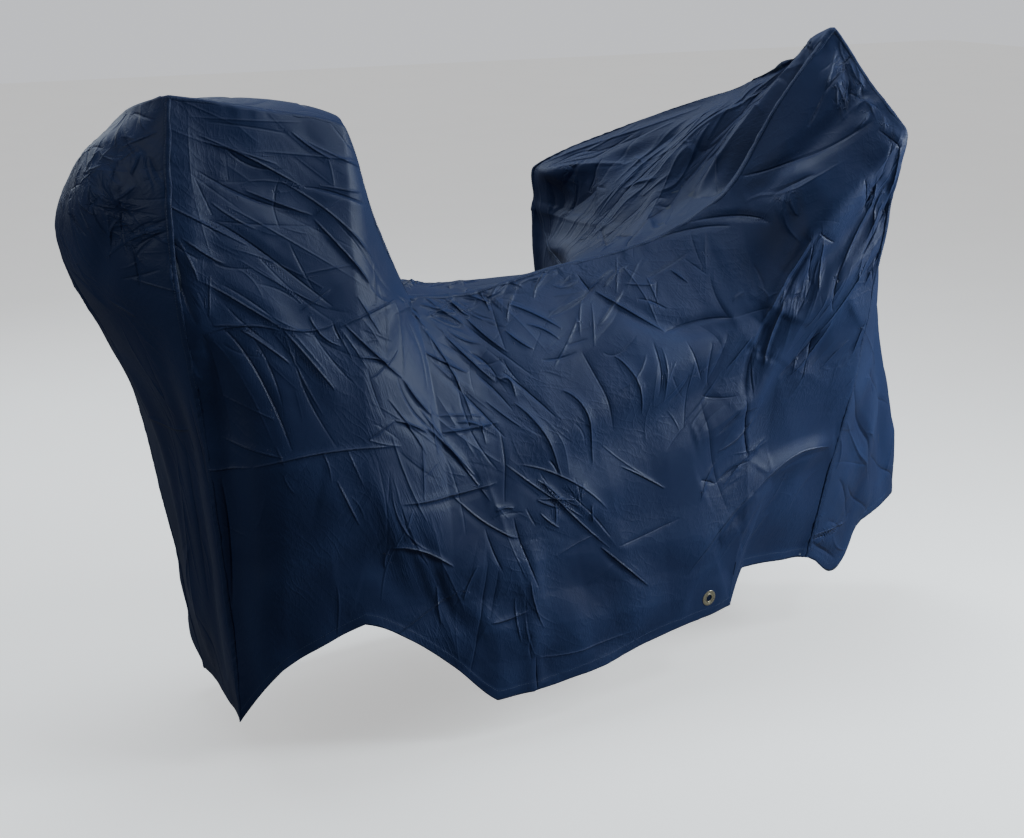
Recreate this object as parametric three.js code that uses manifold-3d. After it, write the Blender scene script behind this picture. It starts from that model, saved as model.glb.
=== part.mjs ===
// A fitted motorcycle cover as it hangs in use: a tall hump behind, a dip in the middle and a high wing in front.
// Millimetres. +X runs to the front, +Y to the left, +Z up.
// The origin lies under the cloth at the low point of the dip, where the cover is carried.
// The cover leans to its left and its wing is turned to the left, so the two sides differ.
import * as THREE from "three";
import { mergeVertices } from "three/addons/utils/BufferGeometryUtils.js";
import Module from "manifold-3d";

const wasm = await Module();
wasm.setup();

// Driving dimensions
const CLOTH = 2; // thickness of the coated cloth with its backing
const SEAM_INSET = 0.9; // each piece stops this far short of a seam line
const DOWN_STEPS = 26; // cells from the seam down to the hem
const ACROSS_STEPS = 8; // cells across the centre panel
const PATH_STEPS = 160; // places along a fold from which its reach is measured
const EYELET = { flange: 16.5, face: 15, barrel: 8.5, hole: 7, lip: 1.2, clearance: 0.3, segments: 40 };
// The strip that holds the eyelet is a flat patch of the right panel at its hem, counted in cells
const STRIP = { firstLine: 32, lines: 4, firstDown: 23, eyeletAlong: 0.41, eyeletDown: 0.56 };

// Rows of named columns, one object for each row
function table(columns, ...rows) {
  return rows.map((row) => Object.fromEntries(columns.map((name, i) => [name, row[i]])));
}

// Side panels, from the rear seam to the front seam. A row is one section from the upper seam down to the hem.
// The shoulder and belly stand off the straight line from seam to hem: "At" is how far down, "Out" how far off.
// Facing turns that direction from straight sideways towards the front, in degrees.
// Turn, point and hemTurn are 1 for a corner and 0 for a smooth run: along the length, at the shoulder, along the hem.
// Steps is the number of cells up to the next row.
const SIDE_COLUMNS = [
  "seamX", "seamY", "seamZ", "shoulderAt", "shoulderOut", "bellyAt", "bellyOut", "facing",
  "hemX", "hemY", "hemZ", "turn", "point", "hemTurn", "steps",
];
const HEM_COLUMNS = ["hemX", "hemY", "hemZ"];
const RIGHT_SECTIONS = table(
  SIDE_COLUMNS,
  [-678, -235, 430, 0.23, 50, 0.5, 25, -45, -567, -170, -749, 0, 0, 0, 4], // rear seam at the hump
  [-526, -245, 400, 0.3, 22, 0.6, 50, 0, -505, -243, -630, 0, 0, 0.3, 4], // hump
  [-357, -235, 361, 0.3, 25, 0.6, 45, 0, -361, -290, -554, 0.6, 0, 0.6, 4], // front edge of the hump
  [-297, -205, 210, 0.25, 40, 0.6, 50, 0, -274, -300, -598, 0, 0, 0, 4],
  [-199, -165, 27, 0.2, 50, 0.55, 65, 0, -184, -310, -669, 1, 0, 0, 4], // notch where the hump meets the dip
  [-73, -155, 18, 0.2, 55, 0.5, 75, 0, -98, -320, -749, 0.5, 0, 0.7, 5], // dip
  [108, -160, 50, 0.2, 60, 0.5, 85, 0, 100, -320, -735, 0, 0, 0, 6],
  [336, -185, 95, 0.22, 75, 0.5, 90, 0, 320, -305, -693, 0, 0, 0, 5], // rise to the wing
  [507, -200, 182, 0.25, 100, 0.5, 90, 0, 484, -290, -677, 0.2, 0, 1, 4],
  [584, -240, 343, 0.25, 120, 0.5, 90, 5, 533, -268, -612, 0, 0, 1, 5],
  [692, -280, 497, 0.17, 178, 0.63, 92, 21, 742, -200, -639, 0, 1, 0, 0], // front seam, peak and right tip of the wing
);
const LEFT_SECTIONS = table(
  SIDE_COLUMNS,
  [-665, 160, 280, 0.25, 50, 0.5, 25, -45, -530, 110, -745, 0, 0, 0, 4],
  [-520, 190, 290, 0.3, 22, 0.6, 50, 0, -500, 240, -690, 0, 0, 0, 4],
  [-355, 190, 270, 0.3, 25, 0.6, 45, 0, -360, 280, -680, 0.6, 0, 0, 4],
  [-297, 175, 130, 0.25, 40, 0.6, 50, 0, -270, 290, -690, 0, 0, 0, 4],
  [-199, 150, -15, 0.2, 50, 0.55, 65, 0, -184, 300, -700, 1, 0, 0, 4],
  [-73, 150, -35, 0.2, 55, 0.5, 75, 0, -98, 310, -720, 0.5, 0, 0, 5],
  [306, 150, -45, 0.2, 45, 0.5, 85, 0, 160, 320, -725, 0, 0, 0, 6],
  [413, 360, 8, 0.22, 10, 0.5, 45, -40, 330, 320, -720, 0, 0, 0, 5], // foot of the wall under the wing
  [406, 410, 165, 0.2, 35, 0.5, 25, 45, 440, 330, -715, 0.6, 0, 0, 4], // left tip of the wing
  [531, 161, 285, 0.25, 120, 0.55, 60, 35, 640, 300, -690, 0, 0, 0, 5],
  [624, -87, 368, 0.25, 150, 0.6, 60, 45, 850, 200, -650, 0, 0, 0, 0],
);

// The centre panel runs up the rear, over the top and down the front between the two side panels.
// Push is how far its middle stands off the straight line between its two edges.
// Round sets the way it stands off: 2 is a parabola, more is fuller, 1 is a wedge.
const TOP_PUSH = table(
  ["pushX", "pushZ", "round"],
  [-35, 12, 2.4], // over the top of the hump
  [0, 40, 2.4],
  [20, 42, 2.4],
  [35, 15, 2.4],
  [10, 28, 2.4],
  [0, 22, 2.4], // dip
  [0, 5, 2.4],
  [0, -15, 2],
  [0, -35, 2],
  [0, -35, 2],
  [10, 5, 2], // crest of the wing
);
const END_COLUMNS = ["down", "pushX", "pushZ", "round"];
const REAR_PUSH = table(
  END_COLUMNS,
  [0, -35, 12, 2.4],
  [0.05, -95, 10, 2.6],
  [0.12, -128, 0, 2.8],
  [0.2, -115, 0, 2.8],
  [0.3, -78, 0, 2.4],
  [0.43, -30, 0, 2.4],
  [0.56, -5, 0, 2.2],
  [0.8, -5, 0, 2],
  [1, 6, 0, 2],
);
const FRONT_PUSH = table(
  END_COLUMNS,
  [0, 10, 5, 2],
  [0.2, 80, 0, 1.6],
  [0.36, 90, 0, 1.4],
  [0.44, 130, 0, 1.4],
  [0.52, 185, 0, 1.3],
  [0.62, 225, 0, 1.3],
  [0.72, 275, 0, 1.3],
  [0.82, 317, 0, 1.2],
  [1, 360, 30, 1.2],
);
const PUSH_COLUMNS = ["pushX", "pushZ", "round"];
// The front hem hangs lower at its right corner
const FRONT_HEM_FROM = 0.82;
const FRONT_HEM = table(["across", "drop"], [0, 0], [0.125, 75], [0.25, 0], [1, 0]);

// Folds. From, via and to are places on a panel: the number of a section, and how far down or across it.
// On the centre panel the rear counts from -1 at its hem to 0 at the top, and the front from 10 at the crest to 11.
// Width is the half width of the fold and height how far it stands out, below zero for a trough.
const FOLD_COLUMNS = ["fromAt", "fromDown", "viaAt", "viaDown", "toAt", "toDown", "width", "height"];
const RIGHT_FOLDS = table(
  FOLD_COLUMNS,
  [5.0, 0.53, 6.8, 0.43, 8.6, 0.38, 60, -18], // long trough from the middle of the side up to the wing
  [4.6, 0.47, 6.6, 0.33, 8.6, 0.3, 45, 10], // ridge above the trough
  [5.2, 0.68, 7.2, 0.6, 9.0, 0.54, 110, -14], // wide hollow below it
  [8.0, 0.32, 9.0, 0.27, 9.9, 0.2, 30, 10],
  [8.2, 0.43, 9.1, 0.37, 9.9, 0.29, 40, -14],
  [9.8, 0.1, 9.1, 0.115, 8.2, 0.06, 24, -11], // hollow under the peak
  [10, 0.02, 10, 0.08, 10, 0.14, 45, -10],
  [9.9, 0.19, 9.0, 0.18, 7.6, 0.12, 40, 7], // pull from the right tip of the wing
  [9.8, 0.33, 9.0, 0.445, 7.1, 0.51, 30, 14],
  [9.7, 0.5, 8.8, 0.56, 7.3, 0.66, 45, -14],
  [7.6, 0.8, 9.0, 0.775, 9.9, 0.76, 30, 12],
  [0.28, 0.02, 0.26, 0.2, 0.3, 0.42, 22, 4], // edge of the hump
  [0.3, 0.36, 0.42, 0.6, 0.3, 0.92, 28, -16], // hollow at the rear corner
  [0.33, 0.26, 1.1, 0.36, 1.7, 0.54, 24, 6],
  [0.6, 0.115, 1.4, 0.17, 1.95, 0.29, 28, -6],
  [3.9, 0.05, 3.2, 0.2, 2.4, 0.42, 30, 10], // pull from the notch
  [1.4, 0.68, 2.8, 0.72, 4.7, 0.66, 55, 8], // where the side turns under
  [1.6, 0.85, 3.0, 0.88, 4.6, 0.86, 55, -8],
  [5.3, 0.29, 5.9, 0.53, 6.7, 0.86, 26, 4],
  [6.3, 0.08, 6.9, 0.22, 7.6, 0.26, 26, -8],
  [5.35, 0.62, 5.4, 0.8, 5.45, 1.05, 24, 8],
);
const LEFT_FOLDS = table(
  FOLD_COLUMNS,
  [5.0, 0.46, 6.6, 0.35, 8.0, 0.12, 55, -22], // long trough up to the left tip
  [7.95, 0.08, 7.6, 0.5, 7.3, 0.98, 42, 18],
  [8.6, 0.2, 8.8, 0.6, 8.9, 0.98, 45, -20],
  [9.3, 0.25, 9.4, 0.6, 9.5, 1.0, 40, 15],
  [0.35, 0.3, 1.1, 0.4, 1.8, 0.56, 26, 10],
  [1.4, 0.7, 2.8, 0.74, 4.7, 0.68, 45, 12],
  [5.5, 0.4, 5.7, 0.7, 6.0, 1.0, 30, 9],
);
const CENTRE_FOLDS = table(
  FOLD_COLUMNS,
  [-0.14, 0.05, -0.2, 0.2, -0.27, 0.42, 32, -12], // pull at the rear seam
  [-0.33, 0.12, -0.6, 0.25, -0.95, 0.3, 30, -14],
  [-0.36, 0.62, -0.6, 0.6, -0.97, 0.66, 30, 10],
  [0.3, 0.3, 0.8, 0.5, 1.8, 0.55, 35, -8], // slack on the top of the hump
  [7.5, 0.9, 7.65, 0.79, 7.95, 0.64, 45, -14], // hollow under the left tip
  [6.9, 0.2, 8.3, 0.37, 9.4, 0.52, 34, 10],
  [7.5, 0.24, 8.7, 0.16, 10.0, 0.28, 45, -24], // hollow beside the peak
  [7.7, 0.93, 8.7, 0.78, 9.4, 0.55, 32, 8],
  [10.62, 0.13, 10.8, 0.2, 10.98, 0.27, 34, 12], // pleats beside the front seam
  [10.5, 0.25, 10.75, 0.34, 10.98, 0.4, 34, -12],
  [10.4, 0.66, 10.7, 0.7, 10.98, 0.72, 40, 12],
);

// Smooth run through rows: at rows[index] and share of the way to the next one, every column is a cubic between the
// two rows. A row whose turn is 1 keeps the slope of each neighbour, so that the run has a corner there.
function between(rows, index, share, columns, turn) {
  const row = rows[index];
  const next = rows[Math.min(index + 1, rows.length - 1)];
  const before = rows[Math.max(index - 1, 0)];
  const after = rows[Math.min(index + 2, rows.length - 1)];
  const s2 = share * share;
  const s3 = s2 * share;
  const value = {};
  for (const c of columns) {
    const slope = next[c] - row[c];
    const leave = THREE.MathUtils.lerp((next[c] - before[c]) / 2, slope, row[turn] ?? 0);
    const arrive = THREE.MathUtils.lerp((after[c] - row[c]) / 2, slope, next[turn] ?? 0);
    value[c] =
      (2 * s3 - 3 * s2 + 1) * row[c] + (s3 - 2 * s2 + share) * leave + (3 * s2 - 2 * s3) * next[c] + (s3 - s2) * arrive;
  }
  return value;
}

// One side section, from the seam through the shoulder and belly to the hem. Side is -1 right, +1 left.
class SectionCurve extends THREE.Curve {
  constructor(section, side) {
    super();
    const seam = new THREE.Vector3(section.seamX, section.seamY, section.seamZ);
    const hem = new THREE.Vector3(section.hemX, section.hemY, section.hemZ);
    const facing = THREE.MathUtils.degToRad(section.facing);
    const out = new THREE.Vector3(Math.sin(facing), side * Math.cos(facing), 0);
    const shoulder = seam.clone().lerp(hem, section.shoulderAt).addScaledVector(out, section.shoulderOut);
    const belly = seam.clone().lerp(hem, section.bellyAt).addScaledVector(out, section.bellyOut);
    shoulder.turn = section.point;
    this.points = [seam, shoulder, belly, hem];
  }

  getPoint(share) {
    const along = share * (this.points.length - 1);
    const index = Math.min(Math.floor(along), this.points.length - 2);
    const { x, y, z } = between(this.points, index, along - index, ["x", "y", "z"], "turn");
    return new THREE.Vector3(x, y, z);
  }
}

// A panel is a grid of points in lines: grid[i][j], i along the length and j down or across.
// At holds the section number of each line, and side is the way the panel faces round the cover.
function sidePanel(sections, side) {
  const grid = [];
  const at = [];
  const addLine = (section, place) => {
    grid.push(new SectionCurve(section, side).getSpacedPoints(DOWN_STEPS));
    at.push(place);
  };
  sections.forEach((section, index) => {
    for (let step = 0; step < section.steps; step++) {
      const share = step / section.steps;
      const run = between(sections, index, share, SIDE_COLUMNS, "turn");
      addLine({ ...run, ...between(sections, index, share, HEM_COLUMNS, "hemTurn") }, index + share);
    }
  });
  addLine(sections.at(-1), sections.length - 1);
  return { grid, at, side };
}

// The columns of a table at a place between two of its rows
function rowAt(rows, column, place, columns) {
  const index = Math.max(0, rows.findLastIndex((row) => row[column] < place));
  const share = (place - rows[index][column]) / (rows[index + 1][column] - rows[index][column]);
  return between(rows, index, share, columns);
}

// Points from one edge to the other, the middle standing off by push
function crossLine(from, to, push) {
  const line = [];
  for (let k = 0; k <= ACROSS_STEPS; k++) {
    const share = k / ACROSS_STEPS;
    const fullness = 1 - Math.abs(2 * share - 1) ** push.round;
    const offset = new THREE.Vector3(push.pushX, 0, push.pushZ).multiplyScalar(fullness);
    line.push(from.clone().lerp(to, share).add(offset));
  }
  return line;
}

// The centre panel, from the rear hem over the top to the front hem, each line running from the right seam to the left
function centrePanel(right, left) {
  const grid = [];
  const at = [];
  for (let j = DOWN_STEPS; j > 0; j--) {
    const push = rowAt(REAR_PUSH, "down", j / DOWN_STEPS, PUSH_COLUMNS);
    grid.push(crossLine(right.grid[0][j], left.grid[0][j], push));
    at.push(-j / DOWN_STEPS);
  }
  right.at.forEach((place, i) => {
    const index = Math.min(Math.floor(place), TOP_PUSH.length - 2);
    const push = between(TOP_PUSH, index, place - index, PUSH_COLUMNS);
    grid.push(crossLine(right.grid[i][0], left.grid[i][0], push));
    at.push(place);
  });
  for (let j = 1; j <= DOWN_STEPS; j++) {
    const down = j / DOWN_STEPS;
    const push = rowAt(FRONT_PUSH, "down", down, PUSH_COLUMNS);
    const line = crossLine(right.grid.at(-1)[j], left.grid.at(-1)[j], push);
    const reach = Math.max(0, (down - FRONT_HEM_FROM) / (1 - FRONT_HEM_FROM));
    line.forEach((point, k) => {
      point.z -= reach * rowAt(FRONT_HEM, "across", k / ACROSS_STEPS, ["drop"]).drop;
    });
    grid.push(line);
    at.push(right.at.at(-1) + down);
  }
  return { grid, at, side: 1 };
}

// The point of a panel at a section number and a share of the way down or across
function pointOn({ grid, at }, place, share) {
  const i = THREE.MathUtils.clamp(at.findLastIndex((value) => value <= place), 0, grid.length - 2);
  const along = THREE.MathUtils.clamp((place - at[i]) / (at[i + 1] - at[i]), 0, 1);
  const cells = grid[0].length - 1;
  const j = THREE.MathUtils.clamp(Math.floor(share * cells), 0, cells - 1);
  const near = grid[i][j].clone().lerp(grid[i + 1][j], along);
  return near.lerp(grid[i][j + 1].clone().lerp(grid[i + 1][j + 1], along), share * cells - j);
}

// The places along a fold: a parabola from one end through the middle to the other
function foldPath(panel, fold) {
  const path = [];
  for (let step = 0; step <= PATH_STEPS; step++) {
    const t = step / PATH_STEPS;
    const from = (1 - t) * (1 - 2 * t);
    const via = 4 * t * (1 - t);
    const to = t * (2 * t - 1);
    const place = from * fold.fromAt + via * fold.viaAt + to * fold.toAt;
    path.push(pointOn(panel, place, from * fold.fromDown + via * fold.viaDown + to * fold.toDown));
  }
  return path;
}

// Moves the points of a panel out or in along its normals, by the sum of its folds times the fade at that place
function addFolds(panel, folds, fade) {
  const normalAt = sharedNormals([panel]);
  const paths = folds.map((fold) => foldPath(panel, fold));
  const moved = panel.grid.map((line) =>
    line.map((point, j) => {
      let height = 0;
      folds.forEach((fold, f) => {
        const distances = paths[f].map((place) => place.distanceTo(point));
        const nearest = Math.min(...distances);
        const ends = Math.sqrt(Math.sin((Math.PI * distances.indexOf(nearest)) / PATH_STEPS));
        height += fold.height * (ends || 0) * Math.exp(-((nearest / fold.width) ** 2));
      });
      return point.clone().addScaledVector(normalAt(point), height * fade(j));
    }),
  );
  return { ...panel, grid: moved };
}

// The outward normal at any point of the panels, shared where they meet so that their edges are mitred
function sharedNormals(panels) {
  const sums = new Map();
  const key = (point) => point.toArray().map((value) => value.toFixed(3)).join();
  for (const { grid, side } of panels)
    for (let i = 0; i < grid.length - 1; i++)
      for (let j = 0; j < grid[i].length - 1; j++) {
        const corners = [grid[i][j], grid[i + 1][j], grid[i + 1][j + 1], grid[i][j + 1]];
        const across = corners[2].clone().sub(corners[0]);
        const normal = across.cross(corners[3].clone().sub(corners[1])).normalize().multiplyScalar(side);
        for (const corner of corners) {
          if (!sums.has(key(corner))) sums.set(key(corner), new THREE.Vector3());
          sums.get(key(corner)).add(normal);
        }
      }
  return (point) => sums.get(key(point)).clone().normalize();
}

// A closed sheet of cloth over those cells of a panel that the test keeps.
// Its edges stop short of the seam lines, by a step that is square to them.
function sheetGeometry({ grid, side }, normalAt, keeps) {
  const width = grid[0].length;
  const count = grid.length * width;
  const inside = (i, j) => i >= 0 && j >= 0 && i < grid.length - 1 && j < width - 1 && keeps(i, j);
  const cellsRound = (i, j) => [[i - 1, j - 1], [i - 1, j], [i, j - 1], [i, j]].filter((cell) => inside(...cell));
  const position = new Float32Array(2 * count * 3);
  grid.forEach((line, i) =>
    line.forEach((point, j) => {
      const cells = cellsRound(i, j);
      const outer = point.clone();
      if (cells.length > 0 && cells.length < 4) {
        const inward = new THREE.Vector3();
        for (const [a, b] of cells)
          for (const corner of [grid[a][b], grid[a + 1][b], grid[a][b + 1], grid[a + 1][b + 1]])
            inward.add(corner).sub(point);
        if (cells.length === 2) {
          const edge = cells[0][1] === cells[1][1] ? [grid[i - 1][j], grid[i + 1][j]] : [grid[i][j - 1], grid[i][j + 1]];
          inward.projectOnPlane(edge[1].clone().sub(edge[0]).normalize());
        }
        outer.addScaledVector(inward.normalize(), SEAM_INSET);
      }
      outer.toArray(position, (i * width + j) * 3);
      outer.addScaledVector(normalAt(point), -CLOTH).toArray(position, (count + i * width + j) * 3);
    }),
  );
  const index = [];
  const quad = (a, b, c, d) => index.push(...(side > 0 ? [a, b, c, a, c, d] : [a, c, b, a, d, c]));
  const rim = (a, b) => quad(a, a + count, b + count, b);
  for (let i = 0; i < grid.length - 1; i++)
    for (let j = 0; j < width - 1; j++) {
      if (!inside(i, j)) continue;
      const a = i * width + j;
      const b = a + width;
      quad(a, b, b + 1, a + 1);
      quad(a + count, a + 1 + count, b + 1 + count, b + count);
      if (!inside(i, j - 1)) rim(a, b);
      if (!inside(i + 1, j)) rim(b, b + 1);
      if (!inside(i, j + 1)) rim(b + 1, a + 1);
      if (!inside(i - 1, j)) rim(a + 1, a);
    }
  const geometry = new THREE.BufferGeometry();
  geometry.setAttribute("position", new THREE.BufferAttribute(position, 3));
  geometry.setIndex(index);
  return mergeVertices(geometry.toNonIndexed());
}

// Lays the cells of the eyelet strip flat, and returns the place of the eyelet and the way it faces
function flattenStrip(panel) {
  const { grid } = panel;
  const last = STRIP.firstLine + STRIP.lines;
  const place = THREE.MathUtils.lerp(panel.at[STRIP.firstLine], panel.at[last], STRIP.eyeletAlong);
  const down = THREE.MathUtils.lerp(STRIP.firstDown / DOWN_STEPS, 1, STRIP.eyeletDown);
  const centre = pointOn(panel, place, down);
  const across = grid[last][DOWN_STEPS].clone().sub(grid[STRIP.firstLine][STRIP.firstDown]);
  const other = grid[STRIP.firstLine][DOWN_STEPS].clone().sub(grid[last][STRIP.firstDown]);
  const facing = across.cross(other).normalize().multiplyScalar(panel.side);
  for (let i = STRIP.firstLine; i <= last; i++)
    for (let j = STRIP.firstDown; j <= DOWN_STEPS; j++)
      grid[i][j].addScaledVector(facing, -facing.dot(grid[i][j].clone().sub(centre)));
  return { centre, facing };
}

// Triangles to and from a solid that can be cut
function solidOf(geometry) {
  const merged = mergeVertices(geometry);
  const vertProperties = new Float32Array(merged.attributes.position.array);
  return new wasm.Manifold(new wasm.Mesh({ numProp: 3, vertProperties, triVerts: new Uint32Array(merged.index.array) }));
}
function geometryOf(solid) {
  const { vertProperties, triVerts } = solid.getMesh();
  const geometry = new THREE.BufferGeometry();
  geometry.setAttribute("position", new THREE.BufferAttribute(new Float32Array(vertProperties), 3));
  geometry.setIndex(Array.from(triVerts));
  return geometry;
}

// A round body turned about the line through a place, which faces outwards
function turned(profile, centre, facing) {
  const body = new THREE.LatheGeometry(profile, EYELET.segments).deleteAttribute("normal").deleteAttribute("uv");
  body.applyQuaternion(new THREE.Quaternion().setFromUnitVectors(new THREE.Vector3(0, 1, 0), facing));
  return body.translate(centre.x, centre.y, centre.z);
}

// Half the profile of the eyelet, from the groove that holds the cloth round the rim to the hole
function eyeletProfile() {
  const groove = CLOTH / 2 + EYELET.clearance;
  const face = groove + EYELET.lip;
  const half = [
    [EYELET.barrel, groove],
    [EYELET.flange, groove],
    [EYELET.flange, groove + EYELET.lip / 2],
    [EYELET.face, face],
    [EYELET.barrel, face],
    [EYELET.hole, groove + EYELET.lip / 2],
  ];
  const other = half.map(([radius, height]) => [radius, -height]).reverse();
  return [...half, ...other, half[0]].map(([radius, height]) => new THREE.Vector2(radius, height));
}

const CLOTH_LOOK = new THREE.MeshStandardMaterial({ color: 0x1d2c4c, roughness: 0.5, metalness: 0 });
const METAL_LOOK = new THREE.MeshStandardMaterial({ color: 0xb9ad86, roughness: 0.3, metalness: 1 });
const cover = new THREE.Group();
cover.name = "motorcycle_cover";
function addPiece(name, geometry, material) {
  const mesh = new THREE.Mesh(geometry, material);
  mesh.name = name;
  cover.add(mesh);
}

const right = addFolds(sidePanel(RIGHT_SECTIONS, -1), RIGHT_FOLDS, () => 1);
const left = addFolds(sidePanel(LEFT_SECTIONS, 1), LEFT_FOLDS, () => 1);
const middleFade = (k) => 1 - Math.abs((2 * k) / ACROSS_STEPS - 1) ** 4;
const centre = addFolds(centrePanel(right, left), CENTRE_FOLDS, middleFade);
const eyelet = flattenStrip(right);
const normalAt = sharedNormals([right, left, centre]);
const inStrip = (i, j) =>
  i >= STRIP.firstLine && i < STRIP.firstLine + STRIP.lines && j >= STRIP.firstDown;

addPiece("right_panel", sheetGeometry(right, normalAt, (i, j) => !inStrip(i, j)), CLOTH_LOOK);
addPiece("left_panel", sheetGeometry(left, normalAt, () => true), CLOTH_LOOK);
addPiece("centre_panel", sheetGeometry(centre, normalAt, () => true), CLOTH_LOOK);

// The strip lies between the two lips of the eyelet, and its hole clears the barrel
const middle = eyelet.centre.clone().addScaledVector(eyelet.facing, -CLOTH / 2);
const holeRadius = EYELET.barrel + EYELET.clearance;
const drill = [[0, -CLOTH], [holeRadius, -CLOTH], [holeRadius, CLOTH], [0, CLOTH]];
const drillBody = turned(drill.map(([radius, height]) => new THREE.Vector2(radius, height)), middle, eyelet.facing);
const flatNormal = () => eyelet.facing;
const strip = solidOf(sheetGeometry(right, flatNormal, inStrip)).subtract(solidOf(drillBody));
addPiece("eyelet_strip", geometryOf(strip), CLOTH_LOOK);
addPiece("eyelet", mergeVertices(turned(eyeletProfile(), middle, eyelet.facing)), METAL_LOOK);

export default cover;
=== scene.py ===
# %% [markdown]
# # A fitted cover of navy coated cloth
# The cover hangs over a rear hump, a low dip and a front hump with a peak and a wing.
# It is sewn from two side panels and one long centre panel, and a lock eyelet is pressed into the right hem.
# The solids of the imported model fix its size. This script dresses them: each panel becomes a fine thin sheet on the
# same folds, and gets its creases, seams, stitches and finish.

# %% The frame
import bpy
import numpy as np
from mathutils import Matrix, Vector


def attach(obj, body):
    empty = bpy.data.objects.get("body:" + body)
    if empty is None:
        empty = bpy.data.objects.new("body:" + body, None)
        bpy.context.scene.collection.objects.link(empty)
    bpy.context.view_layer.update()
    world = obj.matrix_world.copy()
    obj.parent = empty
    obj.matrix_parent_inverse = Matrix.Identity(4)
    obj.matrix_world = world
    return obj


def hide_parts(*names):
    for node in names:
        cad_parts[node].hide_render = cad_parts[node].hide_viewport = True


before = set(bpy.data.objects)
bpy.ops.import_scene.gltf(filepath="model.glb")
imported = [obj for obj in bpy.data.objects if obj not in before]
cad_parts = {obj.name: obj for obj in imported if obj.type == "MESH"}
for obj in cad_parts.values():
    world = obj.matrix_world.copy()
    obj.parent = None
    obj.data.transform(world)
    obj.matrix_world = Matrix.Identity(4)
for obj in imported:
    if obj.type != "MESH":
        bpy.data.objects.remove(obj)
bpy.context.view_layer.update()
MM = 0.001
print("nodes in the frame:", sorted(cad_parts))

# %% [markdown]
# ## The run of the two sides
# A side panel is a row of sections from the upper seam down to the hem, as a sail maker lofts a sail from stations.
# Each row of the table below is one section, in millimetres. The shoulder and the belly stand off the straight line
# from seam to hem. The same stations shape the solids, so the cloth lies where the solids are.
# A mesh could be modelled by hand instead, but a table keeps every size readable and gives any number of lines.

# %% Stations of the sides
# At is a share of the way down, and out a distance off the straight line. Facing turns that way out from straight
# sideways towards the front, in degrees. Turn, point and hem_turn are 1 for a corner and 0 for a smooth run: along the
# length, at the shoulder and along the hem. Steps counts the cells of the solids up to the next station.
SIDE_COLUMNS = {
    "seam": slice(0, 3), "shoulder_at": 3, "shoulder_out": 4, "belly_at": 5, "belly_out": 6, "facing": 7,
    "hem": slice(8, 11), "turn": 11, "point": 12, "hem_turn": 13, "steps": 14,
}
RIGHT_SECTIONS = np.array([
    (-678, -235, 430, 0.23, 50, 0.5, 25, -45, -567, -170, -749, 0, 0, 0, 4),
    (-526, -245, 400, 0.3, 22, 0.6, 50, 0, -505, -243, -630, 0, 0, 0.3, 4),
    (-357, -235, 361, 0.3, 25, 0.6, 45, 0, -361, -290, -554, 0.6, 0, 0.6, 4),
    (-297, -205, 210, 0.25, 40, 0.6, 50, 0, -274, -300, -598, 0, 0, 0, 4),
    (-199, -165, 27, 0.2, 50, 0.55, 65, 0, -184, -310, -669, 1, 0, 0, 4),
    (-73, -155, 18, 0.2, 55, 0.5, 75, 0, -98, -320, -749, 0.5, 0, 0.7, 5),
    (108, -160, 50, 0.2, 60, 0.5, 85, 0, 100, -320, -735, 0, 0, 0, 6),
    (336, -185, 95, 0.22, 75, 0.5, 90, 0, 320, -305, -693, 0, 0, 0, 5),
    (507, -200, 182, 0.25, 100, 0.5, 90, 0, 484, -290, -677, 0.2, 0, 1, 4),
    (584, -240, 343, 0.25, 120, 0.5, 90, 5, 533, -268, -612, 0, 0, 1, 5),
    (692, -280, 497, 0.17, 178, 0.63, 92, 21, 742, -200, -639, 0, 1, 0, 0),
])
LEFT_SECTIONS = np.array([
    (-665, 160, 280, 0.25, 50, 0.5, 25, -45, -530, 110, -745, 0, 0, 0, 4),
    (-520, 190, 290, 0.3, 22, 0.6, 50, 0, -500, 240, -690, 0, 0, 0, 4),
    (-355, 190, 270, 0.3, 25, 0.6, 45, 0, -360, 280, -680, 0.6, 0, 0, 4),
    (-297, 175, 130, 0.25, 40, 0.6, 50, 0, -270, 290, -690, 0, 0, 0, 4),
    (-199, 150, -15, 0.2, 50, 0.55, 65, 0, -184, 300, -700, 1, 0, 0, 4),
    (-73, 150, -35, 0.2, 55, 0.5, 75, 0, -98, 310, -720, 0.5, 0, 0, 5),
    (306, 150, -45, 0.2, 45, 0.5, 85, 0, 160, 320, -725, 0, 0, 0, 6),
    (413, 360, 8, 0.22, 10, 0.5, 45, -40, 330, 320, -720, 0, 0, 0, 5),
    (406, 410, 165, 0.2, 35, 0.5, 25, 45, 440, 330, -715, 0.6, 0, 0, 4),
    (531, 161, 285, 0.25, 120, 0.55, 60, 35, 640, 300, -690, 0, 0, 0, 5),
    (624, -87, 368, 0.25, 150, 0.6, 60, 45, 850, 200, -650, 0, 0, 0, 0),
])
print("stations on each side:", len(RIGHT_SECTIONS))


# %% Smooth run through the rows of a table
def run_through(rows, place, turn=0.0):
    """Cubic through the rows of a table at fractional row numbers.

    Between two rows the value follows the cubic that has their two values and two slopes. The slope at a row is half
    the difference of its neighbours, or the slope of the span itself where turn is 1, which makes a corner there.
    """
    last = len(rows) - 1
    wide = (slice(None),) + (None,) * (rows.ndim - 1)
    corner = np.zeros((last + 1,) + (1,) * (rows.ndim - 1)) + turn
    i = np.clip(np.floor(place).astype(int), 0, last - 1)
    t = (place - i)[wide]
    before, here, there, after = (rows[np.clip(i + k, 0, last)] for k in (-1, 0, 1, 2))
    span = there - here
    leave = (there - before) / 2 + corner[i] * (span - (there - before) / 2)
    arrive = (after - here) / 2 + corner[i + 1] * (span - (after - here) / 2)
    held = (2 * t**3 - 3 * t**2 + 1) * here + (3 * t**2 - 2 * t**3) * there
    return held + (t**3 - 2 * t**2 + t) * leave + (t**3 - t**2) * arrive


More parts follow.
